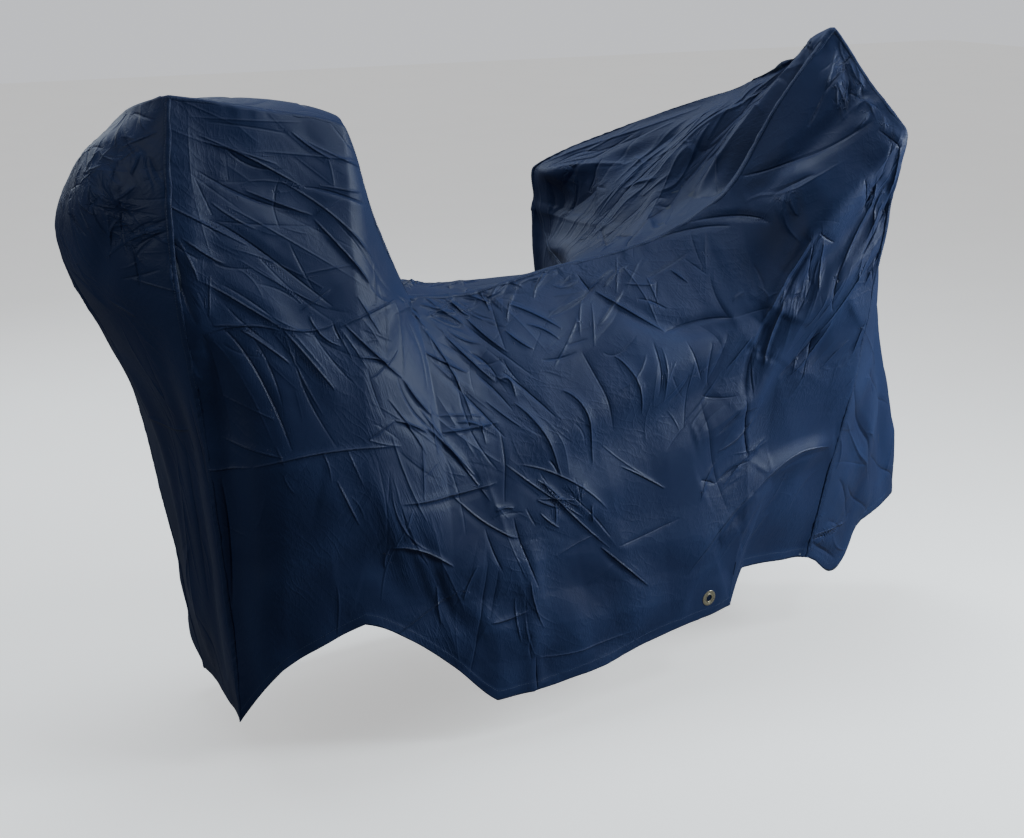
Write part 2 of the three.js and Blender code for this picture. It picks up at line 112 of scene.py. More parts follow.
# %% Side panels as grids of points
ALONG_PER_STEP = 8  # lines of the cloth for each step of the solids
DOWN = 248  # cells from the seam down to the hem
CURVE_SAMPLES = 240


def even_steps(curves, count):
    """Points at equal lengths along each curve: the running length is worked out, then read backwards."""
    run = np.cumsum(np.linalg.norm(np.diff(curves, axis=1), axis=2), axis=1)
    run = np.concatenate([np.zeros((len(curves), 1)), run], axis=1)
    share = np.linspace(0, 1, count + 1)
    lines = [
        [np.interp(share * length[-1], length, curve[:, axis]) for axis in range(3)]
        for curve, length in zip(curves, run)
    ]
    return np.moveaxis(np.array(lines), 1, 2)


def side_panel(sections, side):
    """Grid of points, lines along the length by points down the side, and the station number of each line.

    Every line is a cubic through seam, shoulder, belly and hem. Side is -1 on the right and +1 on the left.
    """
    column = SIDE_COLUMNS
    cells = (sections[:-1, column["steps"]] * ALONG_PER_STEP).astype(int)
    at = np.concatenate([i + np.arange(n) / n for i, n in enumerate(cells)] + [[len(sections) - 1.0]])
    run = run_through(sections, at, sections[:, [column["turn"]]])
    seam = run[:, column["seam"]]
    hem = run_through(sections[:, column["hem"]], at, sections[:, [column["hem_turn"]]])
    facing = np.radians(run[:, column["facing"]])
    out = np.stack([np.sin(facing), side * np.cos(facing), np.zeros_like(facing)], axis=1)

    def off_line(name):
        """Marks at a share of the way from seam to hem, stood off the straight line between them."""
        share = run[:, column[name + "_at"], None]
        return seam + share * (hem - seam) + run[:, column[name + "_out"], None] * out

    marks = np.stack([seam, off_line("shoulder"), off_line("belly"), hem])
    corner = np.zeros((len(marks), len(at), 1))
    corner[1, :, 0] = run[:, column["point"]]
    curves = run_through(marks, np.linspace(0, len(marks) - 1, CURVE_SAMPLES), corner)
    return even_steps(np.moveaxis(curves, 0, 1), DOWN), at


right, at_right = side_panel(RIGHT_SECTIONS, -1)
left, at_left = side_panel(LEFT_SECTIONS, 1)
print("lines and points down each side:", right.shape[:2])

# %% [markdown]
# ## Soft folds
# The cloth doesn't hang flat: it is drawn into long soft folds between the places that carry it.
# A fold is a path on a panel with a half width and a height. The points near the path move out or in along the
# surface normal, by a bell-shaped amount that fades at both ends. These are the folds that the solids have as well.

# %% Folds shared with the solids
# A row gives three marks on the path, each a station number and a share of the way down, then the half width and the
# height in millimetres. On the centre panel the share runs across from the right seam, and the station numbers go on
# to -1 at the rear hem and to 11 at the front hem.
RIGHT_FOLDS = [
    (5.0, 0.53, 6.8, 0.43, 8.6, 0.38, 60, -18),
    (4.6, 0.47, 6.6, 0.33, 8.6, 0.3, 45, 10),
    (5.2, 0.68, 7.2, 0.6, 9.0, 0.54, 110, -14),
    (8.0, 0.32, 9.0, 0.27, 9.9, 0.2, 30, 10),
    (8.2, 0.43, 9.1, 0.37, 9.9, 0.29, 40, -14),
    (9.8, 0.1, 9.1, 0.115, 8.2, 0.06, 24, -11),
    (10, 0.02, 10, 0.08, 10, 0.14, 45, -10),
    (9.9, 0.19, 9.0, 0.18, 7.6, 0.12, 40, 7),
    (9.8, 0.33, 9.0, 0.445, 7.1, 0.51, 30, 14),
    (9.7, 0.5, 8.8, 0.56, 7.3, 0.66, 45, -14),
    (7.6, 0.8, 9.0, 0.775, 9.9, 0.76, 30, 12),
    (0.28, 0.02, 0.26, 0.2, 0.3, 0.42, 22, 4),
    (0.3, 0.36, 0.42, 0.6, 0.3, 0.92, 28, -16),
    (0.33, 0.26, 1.1, 0.36, 1.7, 0.54, 24, 6),
    (0.6, 0.115, 1.4, 0.17, 1.95, 0.29, 28, -6),
    (3.9, 0.05, 3.2, 0.2, 2.4, 0.42, 30, 10),
    (1.4, 0.68, 2.8, 0.72, 4.7, 0.66, 55, 8),
    (1.6, 0.85, 3.0, 0.88, 4.6, 0.86, 55, -8),
    (5.3, 0.29, 5.9, 0.53, 6.7, 0.86, 26, 4),
    (6.3, 0.08, 6.9, 0.22, 7.6, 0.26, 26, -8),
    (5.35, 0.62, 5.4, 0.8, 5.45, 1.05, 24, 8),
]
LEFT_FOLDS = [
    (5.0, 0.46, 6.6, 0.35, 8.0, 0.12, 55, -22),
    (7.95, 0.08, 7.6, 0.5, 7.3, 0.98, 42, 18),
    (8.6, 0.2, 8.8, 0.6, 8.9, 0.98, 45, -20),
    (9.3, 0.25, 9.4, 0.6, 9.5, 1.0, 40, 15),
    (0.35, 0.3, 1.1, 0.4, 1.8, 0.56, 26, 10),
    (1.4, 0.7, 2.8, 0.74, 4.7, 0.68, 45, 12),
    (5.5, 0.4, 5.7, 0.7, 6.0, 1.0, 30, 9),
]
CENTRE_FOLDS = [
    (-0.14, 0.05, -0.2, 0.2, -0.27, 0.42, 32, -12),
    (-0.33, 0.12, -0.6, 0.25, -0.95, 0.3, 30, -14),
    (-0.36, 0.62, -0.6, 0.6, -0.97, 0.66, 30, 10),
    (0.3, 0.3, 0.8, 0.5, 1.8, 0.55, 35, -8),
    (7.5, 0.9, 7.65, 0.79, 7.95, 0.64, 45, -14),
    (6.9, 0.2, 8.3, 0.37, 9.4, 0.52, 34, 10),
    (7.5, 0.24, 8.7, 0.16, 10.0, 0.28, 45, -24),
    (7.7, 0.93, 8.7, 0.78, 9.4, 0.55, 32, 8),
    (10.62, 0.13, 10.8, 0.2, 10.98, 0.27, 34, 12),
    (10.5, 0.25, 10.75, 0.34, 10.98, 0.4, 34, -12),
    (10.4, 0.66, 10.7, 0.7, 10.98, 0.72, 40, 12),
]
# Narrower folds that only the fine cloth can follow
RIGHT_FINE_FOLDS = [
    (0.25, 0.4, 0.36, 0.62, 0.22, 0.95, 16, -16),
    (7.4, 1.0, 8.7, 1.0, 9.9, 1.0, 90, -14),
]
CENTRE_FINE_FOLDS = [
    (7.95, 0.97, 8.1, 0.86, 8.4, 0.68, 22, 12),
    (6.8, 0.1, 8.1, 0.29, 9.3, 0.39, 24, -10),
    (7.6, 0.12, 8.5, 0.2, 9.3, 0.3, 22, 6),
    (7.5, 0.46, 8.5, 0.48, 9.7, 0.6, 28, 7),
    (7.9, 0.06, 8.9, 0.085, 9.75, 0.1, 15, -36),
    (8.0, 0.17, 9.1, 0.2, 10.1, 0.24, 28, 24),
    (7.9, 0.8, 8.7, 0.68, 9.5, 0.55, 24, -6),
]
PATH_SAMPLES = 41
t_path = np.linspace(0, 1, PATH_SAMPLES)
# Shares of the first, middle and last mark along a parabola through all three
THROUGH = np.stack([(1 - t_path) * (1 - 2 * t_path), 4 * t_path * (1 - t_path), t_path * (2 * t_path - 1)], axis=1)
print("folds:", len(RIGHT_FOLDS), len(LEFT_FOLDS), len(CENTRE_FOLDS))


# %% Laying folds on a grid
def unit(v):
    """Vectors of length one."""
    return v / np.maximum(np.linalg.norm(v, axis=-1, keepdims=True), 1e-12)


def grid_normals(grid, side):
    """Normals of a grid: the cross product of its slopes along the lines and across them."""
    return side * unit(np.cross(np.gradient(grid, axis=0), np.gradient(grid, axis=1)))


def on_grid(grid, at, place, share):
    """Points of a grid at station numbers and shares of the way down, weighted from the four corners of the cell."""
    rows, columns = grid.shape[:2]
    u = np.clip(np.interp(place, at, np.arange(rows)), 0, rows - 1.001)
    v = np.clip(share * (columns - 1), 0, columns - 1.001)
    i, j = u.astype(int), v.astype(int)
    a, b = (u - i)[:, None], (v - j)[:, None]
    upper = (1 - b) * grid[i, j] + b * grid[i, j + 1]
    return (1 - a) * upper + a * ((1 - b) * grid[i + 1, j] + b * grid[i + 1, j + 1])


def add_folds(grid, at, side, folds, fade=1.0):
    """Moves a grid along its normals by height x sqrt(sin(pi t)) x exp(-(distance / width)^2) for each fold."""
    points = grid.reshape(-1, 3)
    height = np.zeros(len(points))
    for *marks, width, rise in folds:
        marks = THROUGH @ np.reshape(marks, (3, 2))
        path = on_grid(grid, at, marks[:, 0], marks[:, 1])
        near = np.flatnonzero(
            np.all((points > path.min(0) - 3 * width) & (points < path.max(0) + 3 * width), axis=1)
        )
        offset = points[near, None] - path[None]
        closest = (offset**2).sum(2).argmin(1)
        offset = offset[np.arange(len(near)), closest]
        run = unit(np.gradient(path, axis=0))[closest]
        forth = (offset * run).sum(1)
        length = np.linalg.norm(np.diff(path, axis=0), axis=1).sum()
        t = np.clip(t_path[closest] + forth / length, 0, 1)
        square = (offset**2).sum(1) - np.where((t > 0) & (t < 1), forth**2, 0)
        height[near] += rise * np.sqrt(np.sin(np.pi * t)) * np.exp(-square / width**2)
    height = height.reshape(grid.shape[:2]) * fade
    return grid + height[..., None] * grid_normals(grid, side)


right = add_folds(right, at_right, -1, RIGHT_FOLDS + RIGHT_FINE_FOLDS)
left = add_folds(left, at_left, 1, LEFT_FOLDS)
print("right side spans", np.ptp(right.reshape(-1, 3), axis=0).round(), "mm")

# %% [markdown]
# ## The centre panel
# One long piece of cloth joins the two sides. It runs up the rear, over the top and down the front.
# Each of its lines goes from the right seam to the left seam, and its middle is pushed off the straight line between
# them. The push tables say how far, and round says how full the bulge is: 2 is a parabola and more is boxier.

# %% Pushes of the centre panel
# Push along x and z in millimetres, and round. The rows of the two ends start with the share of the way down.
TOP_PUSH = np.array([
    (-35, 12, 2.4), (0, 40, 2.4), (20, 42, 2.4), (35, 15, 2.4), (10, 28, 2.4), (0, 22, 2.4),
    (0, 5, 2.4), (0, -15, 2), (0, -35, 2), (0, -35, 2), (10, 5, 2),
])
REAR_PUSH = np.array([
    (0, -35, 12, 2.4), (0.05, -95, 10, 2.6), (0.12, -128, 0, 2.8), (0.2, -115, 0, 2.8), (0.3, -78, 0, 2.4),
    (0.43, -30, 0, 2.4), (0.56, -5, 0, 2.2), (0.8, -5, 0, 2), (1, 6, 0, 2),
])
FRONT_PUSH = np.array([
    (0, 10, 5, 2), (0.2, 80, 0, 1.6), (0.36, 90, 0, 1.4), (0.44, 130, 0, 1.4), (0.52, 185, 0, 1.3),
    (0.62, 225, 0, 1.3), (0.72, 275, 0, 1.3), (0.82, 317, 0, 1.2), (1, 360, 30, 1.2),
])
FRONT_HEM = np.array([(0, 0), (0.125, 75), (0.25, 0), (1, 0)])  # share of the way across, and drop of the front hem, mm
FRONT_HEM_FROM = 0.82  # share of the way down from which the drop comes in
ACROSS = 104  # cells from the right seam to the left one
across = np.linspace(0, 1, ACROSS + 1)


def row_number(rows, place):
    """Fractional row numbers of places in the first column of a table."""
    return np.interp(place, rows[:, 0], np.arange(len(rows)))


def cross_lines(start, end, push):
    """Lines between two edges: start + (end - start) w + push (1 - |2 w - 1|^round), with w from 0 to 1."""
    w = across[None, :, None]
    full = 1 - np.abs(2 * w - 1) ** push[:, None, 2:3]
    off = np.stack([push[:, 0], np.zeros(len(push)), push[:, 1]], axis=1)[:, None]
    return start[:, None] + (end - start)[:, None] * w + off * full


down = np.linspace(0, 1, DOWN + 1)[1:]
rear = cross_lines(right[0, 1:], left[0, 1:], run_through(REAR_PUSH[:, 1:], row_number(REAR_PUSH, down)))[::-1]
top = cross_lines(right[:, 0], left[:, 0], run_through(TOP_PUSH, at_right))
front = cross_lines(right[-1, 1:], left[-1, 1:], run_through(FRONT_PUSH[:, 1:], row_number(FRONT_PUSH, down)))
hem_drop = run_through(FRONT_HEM[:, 1], row_number(FRONT_HEM, across))
front[..., 2] -= np.clip((down - FRONT_HEM_FROM) / (1 - FRONT_HEM_FROM), 0, 1)[:, None] * hem_drop
centre = np.concatenate([rear, top, front])
at_centre = np.concatenate([-down[::-1], at_right, at_right[-1] + down])
centre = add_folds(centre, at_centre, 1, CENTRE_FOLDS, 1 - np.abs(2 * across - 1) ** 4)
centre = add_folds(centre, at_centre, 1, CENTRE_FINE_FOLDS, 1 - np.abs(2 * across - 1) ** 12)
print("lines and points of the centre panel:", centre.shape[:2])

# %% [markdown]
# ## One skin
# Sewn cloth is one skin: a crease runs on over a seam, and the edge of the hump is rounded, not a knife edge.
# So the three grids share their seam points in one list of points. Averaging each point near a seam with its
# neighbours a few times rounds the edges, and creases laid on the list never open a gap.

# %% Shared points
LINES = len(at_right)
right_id = np.arange(right.shape[0] * right.shape[1]).reshape(right.shape[:2])
left_id = right_id + right_id.size
centre_id = np.arange(centre.shape[0] * centre.shape[1]).reshape(centre.shape[:2]) + 2 * right_id.size
for edge, ids in ((0, right_id), (-1, left_id)):
    centre_id[:DOWN, edge] = ids[0, :0:-1]
    centre_id[DOWN : DOWN + LINES, edge] = ids[:, 0]
    centre_id[DOWN + LINES :, edge] = ids[-1, 1:]
grid_ids = {"right": right_id, "left": left_id, "centre": centre_id}
skin = np.zeros((centre_id.max() + 1, 3))
for ids, grid in ((centre_id, centre), (right_id, right), (left_id, left)):
    skin[ids] = grid * MM


def pairs(one, other):
    """Pairs of neighbours from two arrays of point numbers."""
    return np.stack([one, other], -1).reshape(-1, 2)


links = np.concatenate([
    np.concatenate([pairs(ids[1:], ids[:-1]), pairs(ids[:, 1:], ids[:, :-1])]) for ids in grid_ids.values()
])
used = np.bincount(links.ravel(), minlength=len(skin)).astype(float)
print("points in the skin:", int((used > 0).sum()))


# %% Rounded edges
def neighbour_mean(values):
    """Mean of the linked points, for every point of the skin."""
    total = np.stack([
        np.bincount(links[:, 0], values[links[:, 1], axis], len(skin))
        + np.bincount(links[:, 1], values[links[:, 0], axis], len(skin))
        for axis in range(values.shape[1])
    ], axis=1)
    return total / np.maximum(used, 1)[:, None]


SEAM_REACH = 4  # cells on each side of a seam that the rounding reaches
ROUNDS, ROUND_SHARE = 8, 0.5  # a point moves this often, by this share of the way to the mean of its neighbours
FELT = 0.05  # a weight below this doesn't count
near_seam = np.zeros((len(skin), 1))
for edge in (centre_id[:, 0], centre_id[:, -1]):
    near_seam[edge] = 1
for _ in range(SEAM_REACH):
    near_seam = np.maximum(near_seam, neighbour_mean((near_seam > FELT).astype(float)) ** 0.5 * 0.999)
hem_points = np.unique(np.concatenate([
    right_id[:, -1], left_id[:, -1], centre_id[0], centre_id[-1],
]))
hold = np.clip(near_seam, 0, 1)
# The right seam is pulled sharp where it climbs from the dip to the wing
SHARP_FROM, SHARP_TO, SHARP_FADE, SHARP_HOLD = 0.0, 0.56, 0.12, 0.25
climb = np.clip(np.minimum(skin[:, 0] - SHARP_FROM, SHARP_TO - skin[:, 0]) / SHARP_FADE, 0, 1) * (skin[:, 1] < 0)
hold *= 1 - (1 - SHARP_HOLD) * climb[:, None]
hold[hem_points] = 0
for _ in range(ROUNDS):
    skin = skin + ROUND_SHARE * hold * (neighbour_mean(skin) - skin)
print("points rounded:", int((hold > FELT).sum()))

# %% Rear bend
# Low on the rear corner the cloth hangs free of the hump and turns the corner in a wide bend
BEND_HALF, BEND_FROM, BEND_TO = 0.06, 0.06, -0.2  # reach from the corner, and the heights where it starts and is full
BEND_ROUNDS, BEND_SHARE = 120, 0.6
BEND_END, BEND_FADE = -0.72, 0.15  # the bend fades out above the hem
corner_line = skin[right_id[0]]
nearest = np.interp(skin[:, 2], corner_line[::-1, 2], np.arange(len(corner_line))[::-1]).astype(int)
from_corner = np.linalg.norm((skin - corner_line[nearest])[:, :2], axis=1)
low = np.clip((BEND_FROM - skin[:, 2]) / (BEND_FROM - BEND_TO), 0, 1)
above_hem = np.clip((skin[:, 2] - BEND_END) / BEND_FADE, 0, 1)
bend = (np.exp(-((from_corner / BEND_HALF) ** 2)) * low * above_hem)[:, None]
bend[hem_points] = 0
for _ in range(BEND_ROUNDS):
    skin = skin + BEND_SHARE * bend * (neighbour_mean(skin) - skin)
print("points in the rear bend:", int((bend > FELT).sum()))


# %% Normals of the skin
def skin_normals(points):
    """Mean of the cell normals round each point; a cell normal is the cross product of its diagonals."""
    total = np.zeros_like(points)
    for name, ids in grid_ids.items():
        a, b, c, d = (points[x] for x in (ids[:-1, :-1], ids[1:, :-1], ids[1:, 1:], ids[:-1, 1:]))
        face = np.cross(c - a, d - b) * (-1 if name == "right" else 1)
        for corner in (ids[:-1, :-1], ids[1:, :-1], ids[1:, 1:], ids[:-1, 1:]):
            for axis in range(3):
                total[:, axis] += np.bincount(corner.ravel(), face[..., axis].ravel(), len(points))
    return unit(total)


def lengths(ids, axis):
    """Running length along the lines of a grid, in metres."""
    step = np.linalg.norm(np.diff(skin[ids], axis=axis), axis=2)
    return np.concatenate([np.zeros_like(np.take(step, [0], axis)), np.cumsum(step, axis)], axis)


normals = skin_normals(skin)
print("mean side normal y:", normals[right_id][..., 1].mean().round(3))

# %% [markdown]
# ## Creases
# The cloth was folded small and then pulled over the humps, so it is full of creases: thin ridges, knife-edged darts
# and drags that run from the places where it is held. Each row gives a crease's place in millimetres on the panel
# seen flat from its own side: from, through and to, then the half width, the height of a ridge (below zero a
# trough), and the height of a step, which is raised above its line and sunk below it.
# A displacement texture would be quicker, but it can't put each crease where it lies on the cloth.

# %% Creases of the right side, from the rear
RIGHT_CREASES = [
    # rear hump: edge band, slack below the top, long darts
    (-642, 412, -649, 319, -645, 253, 5, 0.5, 0),
    (-645, 253, -633, 192, -621, 154, 5, 0.5, 0),
    (-647, 391, -552, 380, -440, 370, 5.5, 0.9, 0),
    (-617, 381, -536, 367, -461, 350, 4.5, -0.9, 0),
    (-424, 380, -367, 364, -342, 331, 5.5, 0.9, 0),
    (-461, 355, -423, 325, -387, 303, 4.5, 1, 1),
    (-633, 361, -535, 312, -444, 258, 8, 0, 3.5),
    (-535, 327, -439, 314, -330, 295, 4, 1, 0),
    (-444, 258, -387, 245, -314, 213, 5.5, 0, -2),
    (-560, 269, -518, 275, -444, 258, 5.5, 0.9, 0),
    (-555, 263, -487, 232, -428, 209, 8.5, 0, 5),
    (-423, 208, -402, 220, -372, 233, 5, 0.9, 0),
    (-428, 204, -372, 139, -324, 78, 6.5, 0, 3.5),
    (-392, 201, -342, 144, -274, 56, 5, -1.5, 1),
    (-639, 219, -538, 202, -428, 190, 4.5, -0.9, 0),
    (-622, 214, -552, 172, -401, 44, 9, -2.5, 0),
    (-593, 240, -501, 185, -368, 99, 9, 0.9, 0),
    (-574, 146, -489, 88, -411, 43, 8, 0.9, 0),
    # drags from the rear seam
    (-689, 196, -676, 111, -650, 35, 6, -2.5, 0),
    (-681, 191, -659, 146, -648, 114, 5.5, 2.5, 0),
    (-673, 191, -632, 159, -597, 139, 5, 1.5, 2),
    (-642, 114, -577, 72, -504, 20, 5, 1.5, 2),
    (-504, 20, -457, -42, -416, -98, 5, 1.5, 2),
    (-608, 106, -555, 70, -504, 25, 4.5, -0.9, 0),
    (-620, 149, -597, 134, -541, 126, 4.5, -0.9, 0),
    (-644, 19, -616, -42, -587, -178, 6, -3, 2),
    (-609, 30, -552, -54, -499, -201, 7, -2, 0),
    (-628, 10, -582, -56, -533, -177, 7.5, 0.9, 0),
    (-483, -12, -471, -93, -415, -205, 5.5, -0.9, 0),
    (-604, -174, -563, -194, -514, -210, 4, 1.5, 0.5),
    (-629, -238, -597, -236, -564, -228, 4, 1.5, 0.5),
    (-564, -228, -449, -208, -303, -214, 4, 1.5, 1),
    (-445, -207, -435, -232, -430, -264, 4.5, 0.9, 0),
    (-401, -202, -387, -236, -370, -278, 4.5, 0.9, 0),
    (-602, -254, -585, -373, -580, -514, 6.5, -2.5, 0),
    (-580, -514, -576, -617, -570, -726, 6, -2, 0),
    # line where the hump ends, and gathers under it
    (-640, 20, -570, 30, -505, 15, 5, 0.6, 1.2),
    (-515, 25, -450, 10, -395, 24, 5, 0.6, 1.4),
    (-400, 10, -330, 32, -262, 44, 5, 0.8, 1.6),
    (-560, 14, -530, -46, -512, -120, 5, -1, 0),
    (-500, 10, -478, -60, -440, -140, 5, 1, 0),
    (-448, 8, -420, -40, -380, -90, 5, -0.9, 0),
    (-400, 12, -376, -22, -352, -66, 4, 1, 0),
    # stars and darts under the notch
    (-387, 16, -341, -34, -272, -98, 5.5, 0, 3),
    (-272, -98, -246, -139, -212, -176, 5.5, 0, 3.5),
    (-270, 41, -265, -21, -270, -91, 5, 0.9, 0),
    (-241, 2, -215, -61, -213, -135, 4.5, -0.9, 0),
    (-351, -67, -339, -114, -321, -162, 5.5, -0.9, 0),
    (-357, -194, -330, -180, -300, -168, 5, 0, 2),
    (-357, -194, -325, -207, -289, -217, 4.5, 0.9, 0),
    (-300, -168, -265, -182, -229, -203, 5.5, 0, 3),
    (-230, -193, -180, -243, -133, -299, 5.5, 0, 4),
    (-197, -211, -132, -213, -67, -209, 5, 1.5, 2),
    (-203, -182, -153, -186, -84, -199, 4.5, 0.9, 0),
    # side of the dip
    (-203, -67, -149, -123, -71, -195, 5, -1.5, 2),
    (-203, -67, -160, -91, -109, -118, 5, 0, 2),
    (-146, -43, -105, -91, -57, -140, 8, 0, 4),
    (-168, -15, -116, -69, -52, -122, 7.5, 0.9, 0),
    (-87, -20, -54, -61, -21, -90, 6, 0, 3),
    (-183, 11, -134, -7, -91, -36, 6.5, 0, 3),
    (3, -6, 49, -27, 102, -58, 5, 1.5, 1),
    (-27, 2, -28, -47, -25, -90, 4, -0.9, 0),
    (-34, -99, -26, -122, -9, -144, 5, -0.9, 0),
    (-89, -103, -60, -106, -34, -99, 4.5, -0.9, 0),
    (-57, -140, -31, -137, -23, -171, 5, 1.5, 2),
    # under the ridge that climbs to the peak
    (187, 7, 242, -32, 308, -79, 5.5, 2, 2),
    (304, -80, 374, -60, 442, -56, 5.5, -2, -2),
    (442, -56, 479, -47, 515, -37, 5, -0.9, 0),
    (295, 21, 345, 42, 401, 69, 4, -0.9, 0),
    (383, 55, 401, 39, 418, 22, 4, -0.9, 0),
    (252, 55, 280, 1, 299, -73, 7.5, 0.9, 0),
    (163, 36, 172, 18, 182, 3, 6, -2, 0),
    (82, -28, 116, -18, 163, 0, 4.5, 0.9, 0),
    (158, -5, 143, -37, 134, -73, 4, 0.9, 0),
    (177, -12, 167, -50, 157, -94, 4.5, 0.9, 0),
    (92, -88, 116, -84, 147, -78, 5, -0.9, 0),
    (171, -103, 201, -109, 246, -79, 5.5, -0.9, 0),
    (327, 89, 412, 107, 486, 112, 6, -2.5, 0),
    (411, 100, 410, 66, 414, 34, 4, -0.9, 0),
    (441, 104, 427, 67, 418, 32, 4.5, 0.9, 0),
    (422, 24, 422, -18, 437, -58, 4, -1.5, 1),
    # middle of the side, down to the hem
    (-32, -176, 17, -236, 54, -332, 5, 1.5, 2),
    (-1, -193, 52, -252, 68, -329, 5, 1.5, -1),
    (54, -332, 103, -399, 172, -483, 5, 1.5, -1),
    (16, -327, 48, -379, 157, -485, 5, 1.5, 2),
    (134, -477, 186, -523, 252, -581, 5.5, 0, 4),
    (71, -164, 112, -209, 123, -314, 5, 1.5, 2),
    (129, -99, 152, -163, 172, -252, 5, -2, 1),
    (191, -111, 222, -153, 236, -226, 4.5, 1.5, 1),
    (281, -138, 286, -173, 284, -209, 4.5, 0.9, 0),
    (172, -483, 239, -470, 321, -449, 5, -1, 0),
    (32, -480, 87, -460, 130, -450, 6, 1, 0),
    (-294, -324, -197, -327, -88, -317, 5.5, 0, 4),
    (-313, -408, -258, -419, -189, -463, 5, 2, 2),
    (-55, -388, -39, -456, -8, -539, 5.5, -2, 0),
    (-68, -217, -70, -295, -72, -363, 4, -0.9, 0),
    (-244, -212, -245, -268, -249, -332, 4, 1, 0),
    (-92, -466, -101, -528, -116, -586, 4.5, -1.5, 1),
    (-116, -463, -130, -560, -155, -697, 5.5, -0.9, 0),
    (-112, -588, -70, -586, -33, -576, 4.5, 1.5, 1),
    (-38, -580, -34, -627, -16, -672, 5, 0.9, 0),
    (-16, -672, -12, -711, -12, -746, 5.5, -2, 0),
    (-11, -676, 75, -683, 232, -667, 4.5, 0.9, 0),
    (-300, -581, -241, -550, -164, -506, 4, 1.5, 1),
    (106, -552, 133, -536, 176, -513, 5, 0.5, 0),
    (429, -81, 404, -142, 373, -205, 5.5, -1.5, 1),
    (298, -209, 321, -189, 341, -156, 5.5, -0.9, 0),
    # front part: drags from the corner, packing creases
    (600, 114, 557, 34, 518, -52, 5.5, -3.5, 3),
    (518, -52, 486, -123, 470, -221, 5.5, -3.5, 3),
    (470, -221, 483, -286, 495, -358, 4.5, -3, 0),
    (583, 101, 546, 29, 501, -64, 4.5, 2.2, 0),
    (587, 85, 589, 50, 594, 7, 5, -2.2, 0),
    (608, 100, 614, 46, 611, -9, 5, 2.2, 0),
    (596, 110, 616, 96, 641, 86, 4.5, -2.2, 0),
    (739, 84, 684, -19, 637, -102, 6, 3, 0),
    (637, -102, 614, -135, 558, -187, 6, -3, 0),
    (660, 45, 642, -10, 656, -56, 5.5, -2.2, 0),
    (538, -25, 520, -96, 510, -154, 5, 2.2, 0),
    (373, -205, 407, -214, 458, -213, 5, -2, 1),
    (372, -209, 395, -326, 447, -465, 4.5, -1.5, 1),
    (413, -394, 453, -371, 497, -359, 4, -2.2, 0),
    (372, -379, 393, -386, 413, -394, 4, -2.2, 0),
    (568, 193, 553, 145, 562, 91, 4.5, 2.2, 0),
    (574, 203, 564, 169, 570, 139, 4.5, 2.2, 0),
    (527, 205, 593, 242, 714, 323, 7.5, -2, 0),
    (416, 119, 509, 132, 530, 123, 6.5, -3, 0),
    (522, 158, 567, 187, 656, 250, 10, 1, 0),
    (545, 163, 567, 194, 605, 219, 5.5, -2.2, 0),
    (727, 189, 693, 112, 654, 27, 5.5, 2.2, 0),
    (676, 216, 689, 185, 704, 146, 4.5, -2.2, 0),
    (728, -370, 616, -366, 506, -428, 12, 0, 5),
    (506, -428, 431, -484, 350, -574, 12, 0, 5),
    # peak
    (698, 428, 697, 387, 683, 328, 5.5, -2.2, 0),
    (717, 433, 715, 390, 697, 361, 5, 2.2, 0),
    (695, 340, 713, 358, 717, 339, 6, 3, 0),
    (664, 398, 645, 355, 619, 307, 7.5, -2.2, 0),
    (692, 457, 668, 402, 635, 338, 7.5, 2.2, 0),
    (716, 306, 731, 289, 750, 267, 5.5, -2.2, 0),
]
print("creases on the right side:", len(RIGHT_CREASES))

# %% Creases of the centre panel and the left side
# Rear and front are seen along the length, so their places are y and z; the top is seen from above, x and y.
REAR_CREASES = [
    (-248, 206, -219, 193, -143, 146, 6, 2, 0),
    (-249, 200, -227, 178, -207, 149, 5.5, -1.5, 0),
    (-205, 178, -208, 144, -199, 97, 5.5, -2, 0),
    (-240, 215, -226, 212, -197, 187, 5, -1.5, 0),
    (-217, 278, -203, 262, -190, 252, 4.5, 1.5, 0),
    (-194, 325, -212, 342, -226, 328, 5.5, -2, 2),
    (-168, 311, -189, 293, -196, 283, 4.5, -1.5, 1),
    (-156, 385, -162, 393, -221, 386, 5, -1.5, 0),
    (-194, 313, -217, 283, -232, 242, 5, -1.5, 1),
    (-226, 328, -235, 307, -244, 286, 5, -1.5, 0),
    (-184, 245, -196, 237, -211, 224, 6.5, -2, 0),
    (-103, 69, -136, 54, -161, 39, 4, 1.5, 0),
    (1, 280, -63, 314, -108, 341, 4.5, 1.5, 0),
    (-19, 299, -57, 341, -119, 379, 5, 1.5, 0),
    (-108, -206, -85, -368, -70, -536, 5.5, -1.5, 0),
    (-69, -173, -30, -390, 30, -686, 6.5, 1.5, 0),
    (-160, -170, -70, -190, 60, -180, 4, 1.5, 0.5),
    (60, 250, 20, 60, 10, -160, 5.5, -1.5, 0),
]
